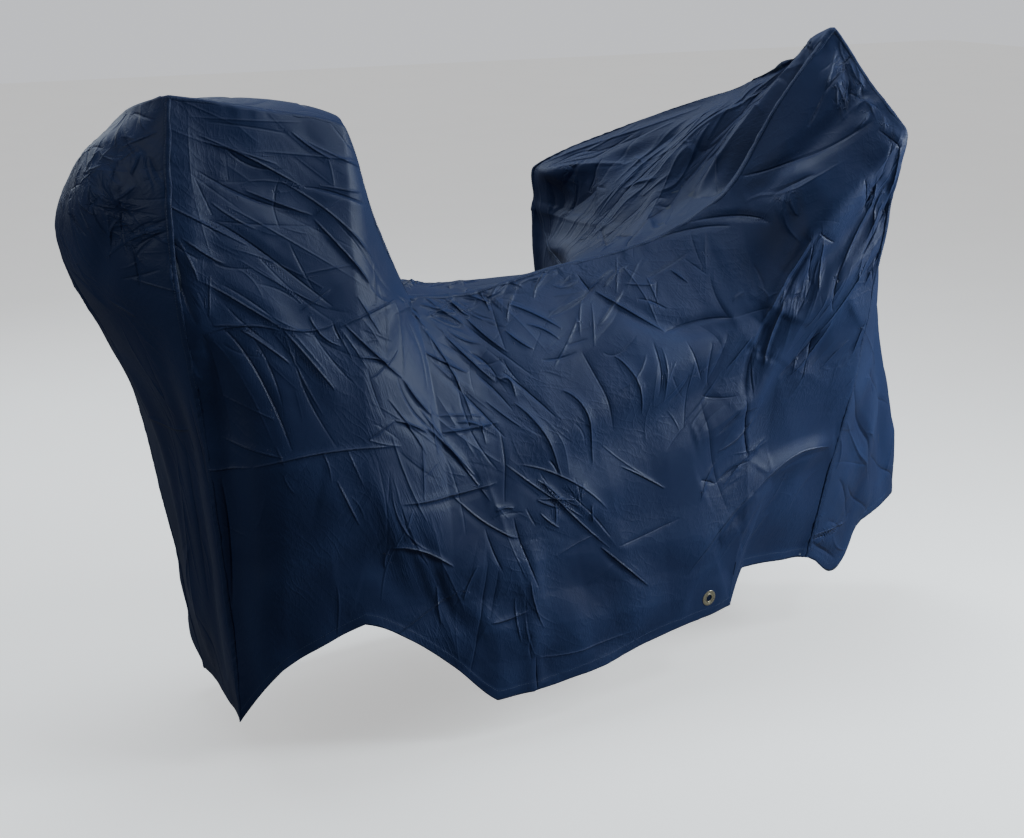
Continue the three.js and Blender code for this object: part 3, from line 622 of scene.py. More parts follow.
TOP_CREASES = [
    (325, -107, 400, -40, 508, -40, 6.5, -3, 0),
    (508, -40, 548, -84, 584, -118, 6, -3, 0),
    (584, -118, 621, -142, 666, -183, 5.5, -2, 0),
    (443, 139, 489, 94, 526, 41, 5.5, 1.5, 2),
    (526, 41, 553, 8, 582, -62, 6, 2, 0),
    (470, 64, 502, 35, 533, -22, 5.5, -1.5, 0),
    (503, 76, 521, 3, 527, -30, 5, 1.5, 0),
    (469, -1, 514, -33, 574, -71, 6.5, 2, 0),
    (528, -64, 545, -105, 556, -117, 4.5, -1.5, 0),
    (527, -30, 549, -78, 562, -92, 5, -1.5, 0),
    (565, -99, 575, -128, 579, -165, 4.5, -1.5, 0),
    (553, -114, 574, -142, 593, -189, 7.5, 2, 0),
    (535, -113, 531, -122, 511, -155, 4.5, 1.5, 0),
    (491, -123, 497, -161, 503, -199, 5, -1.5, 0),
    (558, -202, 600, -225, 665, -234, 8, -5, 0),
    (640, -234, 660, -256, 674, -274, 6.5, -3, 0),
    (623, -175, 653, -191, 679, -222, 5.5, 1.5, 0),
    (591, -113, 632, -141, 661, -176, 5, 1.5, 0),
    (408, 385, 481, 240, 580, 4, 5.5, 2, 0),
    (406, 365, 482, 201, 543, 74, 5.5, -1.5, 0),
    (411, 325, 460, 205, 499, 109, 5.5, 1.5, 0),
    (409, 349, 439, 275, 467, 207, 6.5, -2.5, 0),
    (428, 238, 448, 215, 466, 205, 6.5, -2, 0),
    (353, 215, 361, 130, 415, 124, 5.5, 1.5, 0),
    (413, 132, 381, 66, 350, 2, 5, -1.5, 0),
    (397, 47, 386, -6, 371, -65, 5.5, -2, 0),
    (422, 312, 438, 224, 448, 162, 8, -2.5, 0),
    (358, 215, 430, 150, 508, 68, 5, 1.5, 0),
    (372, 180, 450, 105, 528, 10, 4, -1.5, 0),
    (395, 140, 465, 55, 545, -42, 5, 1.5, 0),
    (405, 300, 470, 215, 535, 128, 5, -1.5, 0),
    (425, 330, 470, 250, 525, 165, 4, 1.5, 0),
    (440, 120, 500, 45, 560, -30, 4, -1.5, 0),
    (470, 70, 530, -5, 590, -90, 5, 1.5, 0),
    (500, 30, 555, -45, 610, -118, 4, -1.5, 0),
    (520, -10, 580, -85, 640, -170, 5, 2, 0),
    (540, -60, 600, -135, 655, -215, 4, -1.5, 0),
    (560, -105, 610, -170, 668, -245, 5, 1.5, 0),
    (350, 130, 410, 70, 470, 10, 5, -1.5, 0),
    (393, -54, 486, -7, 533, -56, 5, 1.5, 0),
    (533, -56, 605, -105, 642, -152, 5, 1.5, 0),
    (-640, -150, -560, 20, -520, 150, 5.5, 1.5, 0),
    (-600, -200, -480, -120, -370, -100, 5.5, -1.5, 0),
    (-540, 120, -450, 20, -380, -60, 5, 1.5, 0),
    (-180, -140, -150, 0, -160, 130, 6.5, -2, 0),
    (-60, -130, 0, 10, 30, 140, 6, 1.5, 0),
    (120, -150, 180, -20, 200, 130, 6, -1.5, 0),
]
FRONT_CREASES = [
    (-313, -230, -217, -371, -128, -523, 5.5, -3, 0),
    (-284, -316, -205, -416, -147, -507, 6, 2, 0),
    (-269, -223, -190, -284, -90, -364, 5, -1.5, 0),
    (-176, -436, -72, -514, -8, -581, 4.5, -1.5, 0),
    (-195, -492, -158, -541, -84, -611, 4.5, -1.5, 0),
    (-225, -464, -188, -522, -153, -591, 5, -2, 0),
    (-214, -588, -195, -588, -151, -597, 5, 2, 0),
    (-211, -599, -183, -640, -156, -677, 5, -2, 0),
    (-181, -606, -162, -647, -133, -669, 5, 1.5, 0),
    (-341, -109, -247, -185, -161, -259, 5, 1.5, 0),
    (100, 250, 60, 0, 90, -300, 8, 2.5, 0),
    (-60, 260, -20, 40, 60, -200, 7.5, -2.5, 0),
    (180, -120, 150, -350, 170, -600, 7.5, -2.5, 0),
]
LEFT_CREASES = [
    (400, 130, 300, -60, 120, -220, 7.5, 0, 4),
    (380, 60, 240, -110, 20, -260, 6, -2, 0),
    (410, 90, 400, -200, 380, -560, 6.5, 2, 0),
    (470, 60, 520, -180, 560, -480, 6.5, -2.5, 0),
    (540, 190, 620, -40, 700, -380, 7.5, 2.5, 0),
    (-640, 220, -520, 150, -380, 40, 6.5, 0, 3.5),
    (-560, 240, -450, 160, -330, 100, 5.5, 1.5, 0),
    (-600, 60, -460, -40, -320, -180, 5.5, -2, 0),
    (-180, -40, -120, -120, -40, -220, 6.5, 0, 3.5),
    (-60, -60, 0, -140, 100, -230, 5.5, 1.5, 0),
    (-640, -210, -300, -215, 60, -225, 4, 1.5, 1),
    (60, -225, 330, -240, 620, -250, 4, 1.5, 1),
    (-70, -120, -72, -400, -76, -690, 4.5, 1.5, 0),
    (-320, 100, -326, -200, -330, -640, 4.5, -1.5, 0),
    (200, -90, 196, -400, 190, -700, 4.5, 1.5, 0),
    (-40, -380, 60, -470, 190, -600, 5.5, 0, 3.5),
]
print("other creases:", len(REAR_CREASES), len(TOP_CREASES), len(FRONT_CREASES), len(LEFT_CREASES))


# %% Height of creases
CREASE_REACH = 6.0  # a crease is felt over this many half widths
DART_FACE, DART_REACH = 1.7, 4.0  # steep face of a dart and the flat slopes on both sides of it, in half widths
CREST_REACH = 10.0  # mm on each side in which the crest line of a crease is kept
CREST_LAYERS = 3
CREASE_NARROW = 0.68  # pressed creases are narrower than their rows say
TENT_REACH = 2.5  # half widths from the line of a ridge to the foot of its slopes
TAPER, TIP = 0.6, 0.45  # power of the fall to both ends, and the width at an end as a share
UPWARD = (0.3, 1.0)  # the way that counts as above the line of a crease


def crease_height(u, v, rows, placed):
    """Height of the creases at points (u, v) of a panel seen flat, in millimetres, and the lines of their crests.

    With d the distance to the crease over its half width, signed above its line, and t the share along it, a ridge is
    a tent: two flat slopes, 2.5 half widths wide, that meet in a sharp line. A step is a dart: a gentle rise above its
    line, a steep narrow face under it and a gentle return. The height goes with a taper, sin(pi t) to the power 0.6,
    and the crease narrows with it, so that it runs out to a point. A crest is told by its distance in millimetres and
    its size, which fades to nothing at the crest reach. Crests that come close are kept in different layers. Of the
    first, placed rows the highest and the deepest count where they meet, so that a meeting is no lump; the small
    creases after them are added up.
    """
    raised, sunk, crumpled = np.zeros((3, len(u)))
    gap, size = np.zeros((len(u), CREST_LAYERS)), np.zeros((len(u), CREST_LAYERS))
    for number, (*marks, width, ridge, step) in enumerate(rows):
        path = THROUGH @ np.reshape(marks, (3, 2))
        reach = CREASE_REACH * width
        low, high = path.min(0) - reach, path.max(0) + reach
        near = np.flatnonzero((u > low[0]) & (u < high[0]) & (v > low[1]) & (v < high[1]))
        offset = np.stack([u[near], v[near]], axis=1)[:, None] - path[None]
        closest = (offset**2).sum(2).argmin(1)
        run = unit(np.gradient(path, axis=0))
        above = np.stack([-run[:, 1], run[:, 0]], axis=1)
        above *= np.where(above @ UPWARD < 0, -1, 1)[:, None]
        away = np.take_along_axis(offset, closest[:, None, None], 1)[:, 0]
        taper = np.sin(np.pi * t_path[closest]) ** TAPER
        off = (away * above[closest]).sum(1)
        d = off / (CREASE_NARROW * width * (TIP + (1 - TIP) * taper))
        tent = np.clip(1 - np.abs(d) / TENT_REACH, 0, 1)
        drop = np.clip(0.5 + d / DART_FACE, -0.5, 0.5)
        dart = drop * np.clip(1 - np.where(d > 0, d, -DART_FACE - d) / DART_REACH, 0, 1)
        shape = (ridge * tent + step * dart) * taper
        if number < placed:
            raised[near] = np.maximum(raised[near], shape)
            sunk[near] = np.minimum(sunk[near], shape)
        else:
            crumpled[near] += shape
        crest = np.clip((ridge + step) / 2, -1, 1) * taper * np.clip(1 - np.abs(off) / CREST_REACH, 0, 1)
        busy = (np.minimum(np.abs(size[near]), np.abs(crest)[:, None])).sum(0)
        layer = busy.argmin()
        first = np.abs(crest) > np.abs(size[near, layer])
        size[near[first], layer] = crest[first]
        gap[near[first], layer] = off[first]
    return raised + sunk + crumpled, gap, size


print("a crease reaches", CREASE_REACH, "half widths; layers of crests:", CREST_LAYERS)

# %% [markdown]
# ## Crumples
# Between the main creases lie hundreds of small ones. They aren't placed one by one: a zone says where they gather,
# how many there are, which way they run and how long they are, and a seeded draw gives each its own place.
# Under them all the cloth lies in broad flat facets with a faint crackle, as in a sheet of paper that was balled up
# once and smoothed out.

# %% Zones of small creases
# middle u and v, reach in u and v, count, direction and its spread in degrees, length, half width, height
RIGHT_ZONES = [
    (-500, 280, 150, 110, 16, -28, 22, 100, 4.5, 1),
    (-470, 40, 170, 110, 20, -38, 16, 120, 5, 1.4),
    (-640, 130, 30, 110, 11, -60, 18, 80, 4.5, 1.4),
    (-340, 20, 70, 60, 13, -20, 50, 60, 4.5, 1.4),
    (-430, -260, 180, 150, 20, -75, 40, 80, 5, 0.9),
    (-80, -90, 150, 90, 26, -40, 24, 80, 4.5, 1.4),
    (-120, 0, 110, 22, 24, -25, 18, 70, 4, 1.6),
    (60, 20, 160, 22, 24, 20, 25, 70, 4, 1.4),
    (-215, 20, 22, 18, 12, -40, 18, 55, 4, 1.8),
    (30, -380, 100, 55, 22, -30, 40, 65, 4, 1.4),
    (-60, -560, 160, 120, 14, -85, 20, 110, 5, 1),
    (260, 40, 150, 60, 16, -50, 45, 60, 4.5, 1.1),
    (330, -150, 150, 80, 20, 75, 25, 90, 5, 1.1),
    (560, -16, 45, 14, 22, 60, 50, 26, 3.5, 0.6),
    (596, 110, 30, 30, 8, -30, 50, 50, 4, 0.8),
    (585, -10, 60, 80, 20, 80, 14, 110, 4, 0.6),
    (430, -300, 150, 110, 16, 32, 18, 110, 6, 1.1),
    (580, -450, 120, 110, 13, 55, 15, 110, 6, 0.9),
    (730, 150, 40, 120, 26, 72, 14, 100, 4.5, 1.6),
    (700, 390, 26, 60, 30, 80, 25, 55, 4, 1.6),
    (0, -250, 200, 120, 16, -50, 25, 90, 4.5, 0.9),
    (650, -150, 90, 120, 12, 60, 14, 120, 6, 1.1),
]
LEFT_ZONES = [
    (-500, 150, 150, 120, 24, -30, 25, 100, 5, 1.2),
    (-450, -150, 170, 180, 22, -65, 35, 90, 5, 1),
    (-60, -150, 180, 100, 30, -35, 28, 85, 4.5, 1.3),
    (300, -120, 140, 150, 30, 50, 25, 100, 5, 1.4),
    (480, -100, 100, 250, 26, 80, 15, 130, 6, 1.4),
    (660, -150, 90, 250, 22, 70, 16, 130, 6, 1.4),
    (0, -450, 300, 180, 30, -60, 40, 90, 5, 1),
]
REAR_ZONES = [
    (-180, 290, 60, 80, 70, 60, 50, 60, 5, 1.1),
    (-90, 260, 110, 110, 50, 50, 35, 80, 5, 1.2),
    (-215, 190, 35, 60, 26, -20, 50, 60, 5, 1.2),
    (60, 150, 100, 150, 40, 70, 30, 90, 6, 1.3),
    (-60, -200, 120, 300, 22, 88, 12, 160, 6, 1.2),
]
TOP_ZONES = [
    (-520, -40, 140, 170, 36, 30, 50, 90, 5, 1.4),
    (-120, -70, 100, 50, 40, 40, 50, 70, 5, 2.4),
    (-150, 40, 60, 100, 20, 70, 40, 70, 5, 1.6),
    (60, 0, 220, 130, 30, 60, 40, 80, 5, 1.3),
    (500, 60, 45, 90, 12, -58, 9, 130, 4.5, 1.2),
    (545, -60, 35, 60, 10, -52, 9, 110, 4, 1.2),
    (440, 190, 40, 110, 12, -64, 7, 160, 5, 1.4),
    (630, -160, 40, 50, 10, -46, 8, 100, 4.5, 1.4),
    (400, 20, 60, 110, 10, -45, 30, 70, 4.5, 1.2),
    (470, 30, 80, 90, 12, -48, 14, 100, 4, 1.0),
]
FRONT_ZONES = [
    (-240, -350, 70, 160, 22, -55, 14, 110, 5, 1.4),
    (-190, -600, 40, 50, 16, -30, 60, 50, 4.5, 1.4),
    (0, 100, 200, 160, 30, -70, 25, 110, 6, 1.4),
    (80, -350, 160, 200, 26, -85, 18, 140, 6, 1.4),
]
# Long thin straight ones on the right side
LONG_ZONES = [
    (-480, 200, 150, 160, 14, -32, 12, 190, 3.4, 1.3),
    (-150, -120, 200, 110, 14, -48, 14, 190, 3.4, 1.3),
    (60, -330, 170, 90, 10, -35, 14, 170, 3.4, 1.2),
    (100, -40, 180, 60, 10, 25, 15, 150, 3.4, 1.2),
    (-250, -330, 160, 140, 10, -80, 12, 190, 3.4, 1.0),
]


# %% Drawing the small creases
draw, long_draw = np.random.default_rng(20), np.random.default_rng(21)
GATHER = 0.6  # spread of the places in a zone, as a share of its reach


def small_creases(zones, draw):
    """Rows of short creases: places drawn from a bell round the middle of each zone, directions from its spread."""
    rows = []
    for u, v, reach_u, reach_v, count, direction, spread, length, width, height in zones:
        at_u = u + reach_u * draw.normal(size=count) * GATHER
        at_v = v + reach_v * draw.normal(size=count) * GATHER
        middle = np.stack([at_u, at_v], axis=1)
        angle = np.radians(direction + spread * draw.normal(size=count))
        half = 0.5 * length * draw.uniform(0.5, 1.3, count)
        way = np.stack([np.cos(angle), np.sin(angle)], axis=1)
        bow = np.stack([-way[:, 1], way[:, 0]], axis=1) * (half * draw.normal(0, 0.12, count))[:, None]
        size = height * draw.uniform(0.5, 1.2, count)
        ridge = size * draw.choice((-0.8, 0.0, 0.9), count)
        step = size * draw.choice((-0.5, 0.6, 1.1), count)
        wide = width * draw.uniform(0.7, 1.3, count)
        ends = (middle - way * half[:, None], middle + bow, middle + way * half[:, None])
        rows += list(np.column_stack([*ends, wide, ridge, step]))
    return rows


ZONES = {"right": RIGHT_ZONES, "left": LEFT_ZONES, "rear": REAR_ZONES, "top": TOP_ZONES, "front": FRONT_ZONES}
small = {name: small_creases(zones, draw) for name, zones in ZONES.items()}
small["right"] += small_creases(LONG_ZONES, long_draw)
print("small creases:", {name: len(rows) for name, rows in small.items()})


# %% Crackle and facets
FACET_RISE = 3.4  # height of the largest facets, mm
FACET_SHORT, FACET_LONG = 130, 340  # wavelengths of the facets, mm
PATCH_ACROSS, PATCH_BESIDE, FACET_BEND = 230, 310, 260  # how fast the patches and the bends of the facets change, mm
CRACKLE_PLACES, CRACKLE_BROAD, CRACKLE_FINE = 420, 190, 80  # wavelengths, mm: where it is strong, and its two sizes
LEAST_SHARE, BROAD_RISE, FINE_RISE = 0.3, 0.3, 0.2  # strength where it is weakest, and the two heights, mm


def crackle(u, v, wavelength, waves=26):
    """Sharp-lined random relief from 0 to 1: exp(-1.6 |s|), with s a scaled sum of waves of about one wavelength."""
    angle = draw.uniform(0, np.pi, waves)
    number = 2 * np.pi / (wavelength * draw.uniform(0.7, 1.5, waves))
    phase = draw.uniform(0, 2 * np.pi, waves)
    total = np.zeros_like(u)
    for k in range(waves):
        total += np.cos(number[k] * (u * np.cos(angle[k]) + v * np.sin(angle[k])) + phase[k])
    return np.exp(-1.6 * np.abs(total) / np.sqrt(waves / 2))


def facets(u, v, folds=16):
    """Flat facets with straight edges, in millimetres: triangle waves in drawn directions, each in its own patches.

    A wave is |2 frac(s) - 1|, with s the distance across it in wavelengths, bent a little by a long sine along it.
    """
    total = np.zeros_like(u)
    for _ in range(folds):
        lowest, highest = (0, FACET_SHORT, 0, 0), (np.pi, FACET_LONG, 1, 2 * np.pi)
        angle, wavelength, phase, bend = draw.uniform(lowest, highest)
        across, beside = u * np.cos(angle) + v * np.sin(angle), v * np.cos(angle) - u * np.sin(angle)
        s = across / wavelength + phase + 0.12 * np.sin(beside / FACET_BEND + bend)
        patch = np.clip(1.6 * np.cos(across / PATCH_ACROSS + 2 * bend) * np.cos(beside / PATCH_BESIDE - bend), 0, 1)
        total += FACET_RISE * patch * (np.abs(2 * (s - np.floor(s)) - 1) - 0.5)
    return total


def crumple(u, v):
    """Facets, and a faint crackle that is stronger in some places than in others, in millimetres."""
    flats = facets(u, v)
    strong = LEAST_SHARE + crackle(u, v, CRACKLE_PLACES, 10)
    return flats + strong * (BROAD_RISE * crackle(u, v, CRACKLE_BROAD) + FINE_RISE * crackle(u, v, CRACKLE_FINE))


print("facets up to", FACET_RISE, "mm high")


# %% Relief of the three panels
def flat_places(ids, first, second):
    """Two coordinates of the points of a grid, in millimetres."""
    points = skin[ids] / MM
    return points[..., first].ravel(), points[..., second].ravel()


# The creases stand higher than their rows say, so that they show in soft light, and most where the cloth is drawn
# tight to the wing
CREASE_SCALE, WING_SCALE, WING_FROM, WING_TO = 1.2, 1.5, 330, 520
heights, crests = {}, {}


def crease_scale(x):
    """Scale of the creases at a place along the length in millimetres."""
    return np.interp(x, (WING_FROM, WING_TO), (CREASE_SCALE, WING_SCALE))


def creased(name, ids, rows, u, v):
    """Crease height, crest gaps and crest sizes of a panel, in the shape of its grid."""
    found = crease_height(u, v, rows + small[name], len(rows))
    return [x.reshape(*ids.shape, *x.shape[1:]) for x in found]


for name, ids, rows in (("right", right_id, RIGHT_CREASES), ("left", left_id, LEFT_CREASES)):
    u, v = flat_places(ids, 0, 2)
    rise, gap, size = creased(name, ids, rows, u, v)
    heights[name] = crease_scale(skin[ids][..., 0] / MM) * rise + crumple(u, v).reshape(ids.shape)
    crests[name] = gap, size
parts = []
for name, ids, rows, first, second in (
    ("rear", centre_id[:DOWN], REAR_CREASES, 1, 2),
    ("top", centre_id[DOWN : DOWN + LINES], TOP_CREASES, 0, 1),
    ("front", centre_id[DOWN + LINES :], FRONT_CREASES, 1, 2),
):
    parts.append(creased(name, ids, rows, *flat_places(ids, first, second)))
run_along, run_across = lengths(centre_id, 0) / MM, lengths(centre_id, 1) / MM
rise, *crest = (np.concatenate(x) for x in zip(*parts))
crumpled = crumple(run_along.ravel(), run_across.ravel()).reshape(centre_id.shape)
heights["centre"] = crease_scale(skin[centre_id][..., 0] / MM) * rise + crumpled
crests["centre"] = tuple(crest)
print("relief of the right side: %.1f to %.1f mm" % (heights["right"].min(), heights["right"].max()))


# %% [markdown]
# ## Hang of the hem and pucker of the seams
# Towards the hem nothing holds the cloth, so it hangs in shallow upright waves. Beside a seam the thread draws the
# cloth together, and short puckers stand across it. Both are sums of waves along the edge that fade with the
# distance from it.

# %% Waves along edges
def edge_waves(along, shortest, longest, waves=14):
    """Sum of sine waves along an edge with lengths between two limits, scaled to about -1 to 1."""
    number = 2 * np.pi / draw.uniform(shortest, longest, waves)
    phase = draw.uniform(0, 2 * np.pi, waves)
    return np.sin(along[..., None] * number + phase).sum(-1) / np.sqrt(waves)


def smooth(share):
    """Soft step from 0 to 1."""
    share = np.clip(share, 0, 1)
    return share**2 * (3 - 2 * share)


HANG, HANG_WAVES = 2.5, (130, 330)  # height and lengths of the waves at the hem, mm
DRIFT, DRIFT_WAVES = 60, (300, 700)  # how far such a wave strays sideways on its way down, mm
PUCKER, PUCKER_REACH = 0.5, 9.0  # height of the puckers, and the distance from the seam where they are highest, mm
PUCKER_WAVES, PUCKER_STRETCHES = (14, 60), (140, 420)  # lengths of the puckers, and of the stretches that have them
HEM_WIDE, HEM_THICK, HEM_EDGE, HEM_SLOPE = 20.0, 1.0, 3.0, 5.0  # the turned hem and the slope at its upper edge


def pucker(gap, along):
    """Short waves across a seam, in some stretches only, highest a little way from it: w exp(1 - w), w in reaches."""
    stretches = smooth(edge_waves(along, *PUCKER_STRETCHES, 6) + 0.2)
    fall_off = PUCKER * (gap / PUCKER_REACH) * np.exp(1 - gap / PUCKER_REACH)
    return fall_off * stretches * edge_waves(along, *PUCKER_WAVES, 30)


for name, ids in (("right", right_id), ("left", left_id)):
    along, fall = lengths(ids, 0) / MM, lengths(ids, 1) / MM
    share = np.linspace(0, 1, DOWN + 1)[None]
    drift = DRIFT * edge_waves(fall, *DRIFT_WAVES, 6)
    heights[name] += HANG * smooth((share - 0.5) * 2) * edge_waves(along[:, -1:] + drift, *HANG_WAVES)
    heights[name] += HEM_THICK * smooth((HEM_WIDE + HEM_EDGE - (fall[:, -1:] - fall)) / HEM_SLOPE)
    heights[name] += pucker(fall, along[:, :1] + 0 * fall)
    heights[name] += pucker(along, fall) + pucker(along[-1:] - along, fall)
sides = pucker(run_across, run_along[:, :1] + 0 * run_across)
heights["centre"] += sides + pucker(run_across[:, -1:] - run_across, run_along[:, -1:] + 0 * run_across)
to_hem = np.minimum(run_along, run_along[-1:] - run_along)
heights["centre"] += HEM_THICK * smooth((HEM_WIDE + HEM_EDGE - to_hem) / HEM_SLOPE)
print("hem waves up to", HANG, "mm, puckers up to", PUCKER, "mm")


# %% Moving the skin
CLOTH = 1.2 * MM  # thickness of the sheets
ring_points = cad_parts["eyelet"].data.vertices
ring = np.empty(3 * len(ring_points), np.float32)
ring_points.foreach_get("co", ring)
ring = ring.reshape(-1, 3).astype(float)
EYELET_MIDDLE = (ring.min(0) + ring.max(0)) / 2
EYELET_FACING = np.linalg.svd(ring - EYELET_MIDDLE, full_matrices=False)[2][2]  # the way in which the ring is thin
EYELET_FACING *= -np.sign(EYELET_FACING[1])
EYELET_AT = EYELET_MIDDLE + EYELET_FACING * CLOTH
PATCH_FLAT, PATCH_END = 0.03, 0.075  # the doubled hem patch round the eyelet stays flat
rise, count = np.zeros(len(skin)), np.zeros(len(skin))
for name, ids in grid_ids.items():
    rise += np.bincount(ids.ravel(), heights[name].ravel(), len(skin))
    count += np.bincount(ids.ravel(), minlength=len(skin))
patch = smooth((np.linalg.norm(skin - EYELET_AT, axis=1) - PATCH_FLAT) / (PATCH_END - PATCH_FLAT))
rise *= patch / np.maximum(count, 1)
smooth_normals = normals
skin = skin + normals * (rise * MM)[:, None]
skin = skin - ((1 - patch) * ((skin - EYELET_AT) @ EYELET_FACING))[:, None] * EYELET_FACING
normals = skin_normals(skin)
print("points moved by %.1f mm on average, eyelet at" % np.abs(rise[used > 0]).mean(), (EYELET_MIDDLE / MM).round(1))


# %% [markdown]
# ## Sheets
# A sheet has two faces and a rim. The inner face is the outer one moved in by the thickness of the cloth.
# The Solidify modifier would do the same, but worked out here the rim also closes the hole for the eyelet.

# %% A mesh from arrays
def make_piece(name, points, faces, uv=None):
    """A smooth mesh object from an array of points and lists of faces, with a UV map in metres where one is given."""
    mesh = bpy.data.meshes.new(name)
    mesh.from_pydata(points, [], faces)
    if uv is not None:
        layer = mesh.uv_layers.new(name="cloth")
        corners = np.empty(len(mesh.loops), dtype=np.int32)
        mesh.loops.foreach_get("vertex_index", corners)
        layer.data.foreach_set("uv", uv[corners].astype(np.float32).ravel())
    mesh.polygons.foreach_set("use_smooth", np.ones(len(mesh.polygons), bool))
    mesh.update()
    piece = bpy.data.objects.new(name, mesh)
    bpy.context.scene.collection.objects.link(piece)
    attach(piece, "root")
    return piece


# %% Rim and hole of a sheet
INNER_STEP = 4  # cells of the outer face for one cell of the inner face
HOLE_HALF = 9.5 * MM  # the cloth is cut back to a square under the eyelet's flange


def grid_cells(number):
    """Four corners of every cell of a numbered grid, in order round the cell."""
    return np.stack([number[:-1, :-1], number[1:, :-1], number[1:, 1:], number[:-1, 1:]], -1)


def border(number):
    """Numbers round the edge of a grid, in the order in which its cells run."""
    return np.concatenate([number[:-1, 0], number[-1, :-1], number[:0:-1, -1], number[0, :0:-1]])


def rim_faces(outer, inner):
    """Triangles that close the rim: four steps of the outer edge fan out to one step of the inner edge."""
    f0, f1, f2, f3 = outer.reshape(-1, INNER_STEP).T
    f4 = np.roll(f0, -1)
    c0, c1 = inner, np.roll(inner, -1)
    fans = (f1, f0, c0), (f2, f1, c0), (f2, c0, c1), (f3, f2, c1), (f4, f3, c1)
    return np.concatenate([np.stack(fan, -1) for fan in fans])


def eyelet_corners():
    """The square hole's corners round the eyelet, in the order of a cell: back and up, front and up, and on round."""
    ahead = unit(np.cross((0, 0, 1), EYELET_FACING)) * -1
    up = np.cross(EYELET_FACING, ahead) * -1
    return EYELET_AT + HOLE_HALF * np.array([up - ahead, up + ahead, ahead - up, -up - ahead])


print("corners of the hole, mm:", (eyelet_corners() / MM).round().tolist())

# %% Thin sheets
SEAM_INSET = 0.3 * MM


def lowest_near(values, reach):
    """Lowest value of a grid in the square of cells round each point."""
    for axis in (0, 1):
        padded = np.pad(values, [(reach, reach) if axis == k else (0, 0) for k in (0, 1)], mode="edge")
        values = np.lib.stride_tricks.sliding_window_view(padded, 2 * reach + 1, axis=axis).min(-1)
    return values


def to_edge(lines, columns):
    """Cells from each point of a grid to the nearest edge of it."""
    along, beside = (np.minimum(np.arange(n), np.arange(n)[::-1]) for n in (lines, columns))
    return np.minimum(along[:, None], beside[None])


def sheet_piece(name, ids, side, hole=None):
    """A fine outer face, a coarse inner face that stays under it, and the rim between them.

    A point of the inner face lies the cloth's thickness under the lowest outer point near it, so that no sharp trough
    comes through. At the edges the two faces are exactly one thickness apart.
    """
    outer = skin[ids].copy()
    edges = np.s_[0], np.s_[-1], np.s_[:, 0], np.s_[:, -1]
    beside = np.s_[1], np.s_[-2], np.s_[:, 1], np.s_[:, -2]
    for edge, inner in zip(edges, beside):
        outer[edge] += SEAM_INSET * unit(outer[inner] - outer[edge])
    away = smooth(to_edge(*ids.shape) / (2 * INNER_STEP))
    dip = (rise[ids] - lowest_near(rise[ids], INNER_STEP)) * away * MM
    pick = np.s_[::INNER_STEP, ::INNER_STEP]
    inner = outer[pick] - smooth_normals[ids][pick] * (CLOTH + dip[pick])[..., None]
    number = np.arange(outer[..., 0].size).reshape(ids.shape)
    below = np.arange(inner[..., 0].size).reshape(inner.shape[:2]) + number.size
    cells, inner_cells = grid_cells(number), grid_cells(below)[..., ::-1]
    keep, inner_keep = np.ones(cells.shape[:2], bool), np.ones(inner_cells.shape[:2], bool)
    extra = []
    if hole is not None:
        inner_hole = tuple(k // INNER_STEP for k in hole)
        keep[hole], inner_keep[inner_hole] = False, False
        square, under = cells[hole], grid_cells(below)[inner_hole]
        outer.reshape(-1, 3)[square] = eyelet_corners()
        inner.reshape(-1, 3)[under - number.size] = eyelet_corners() - EYELET_FACING * CLOTH
        extra = np.stack([square, np.roll(square, -1), np.roll(under, -1), under], -1)
    quads = np.concatenate([cells[keep], inner_cells[inner_keep], np.reshape(extra, (-1, 4)).astype(int)])
    rim = rim_faces(border(number), border(below))
    faces = quads[:, ::side].tolist() + rim[:, ::side].tolist()

    def on_faces(values):
        """Values at the points of the outer face, then at those of the inner face."""
        return np.concatenate([x.reshape(-1, *x.shape[2:]) for x in (values, values[pick])])

    points = np.concatenate([outer.reshape(-1, 3), inner.reshape(-1, 3)])
    piece = make_piece(name, points, faces, on_faces(np.stack([lengths(ids, 0), lengths(ids, 1)], -1)))
    inside = np.arange(len(points)) >= number.size
    for label, values in (("relief", on_faces(rise[ids])), ("inside", inside)):
        piece.data.attributes.new(label, "FLOAT", "POINT").data.foreach_set("value", values.astype(np.float32))
    for label, values in zip(("crest_gap", "crest_size"), crests[name.split("_")[0]]):
        layer = piece.data.attributes.new(label, "FLOAT_VECTOR", "POINT")
        layer.data.foreach_set("vector", on_faces(values).astype(np.float32).ravel())
    across_cell = np.cross(outer[1:, 1:] - outer[:-1, :-1], outer[:-1, 1:] - outer[1:, :-1])
    area = np.linalg.norm(across_cell, axis=2).sum() / 2
    print(name, 2 * len(quads) + len(rim), "triangles, one face %.3f m2" % area)
    return piece


# %% Three sheets
def ring_out(points, hole, reach):
    """Moves points away from the eyelet's axis: distance r becomes hole + r (reach - hole) / reach inside reach."""
    offset = points - EYELET_AT
    offset = offset - (offset @ EYELET_FACING)[..., None] * EYELET_FACING
    r = np.linalg.norm(offset, axis=-1, keepdims=True)
    wider = hole + r * (reach - hole) / reach
    inside = (r < reach) & (patch[right_id] < 1)[..., None]
    return points + np.where(inside, (wider - r) * offset / np.maximum(r, 1e-9), 0)


RING_FROM, RING_TO = 12.6 * MM, 24 * MM  # the cloth round the eyelet is pushed out between these
cell_middles = skin[grid_cells(right_id)].mean(2)
hole_cell = np.unravel_index(np.linalg.norm(cell_middles - EYELET_AT, axis=2).argmin(), cell_middles.shape[:2])
shift = (cell_middles[hole_cell] - EYELET_AT) * (1 - patch[right_id])[..., None]
skin[right_id] = ring_out(skin[right_id] - shift, RING_FROM, RING_TO)
right_cloth = sheet_piece("right_side_cloth", right_id, -1, hole_cell)
left_cloth = sheet_piece("left_side_cloth", left_id, 1)
centre_cloth = sheet_piece("centre_cloth", centre_id, 1)


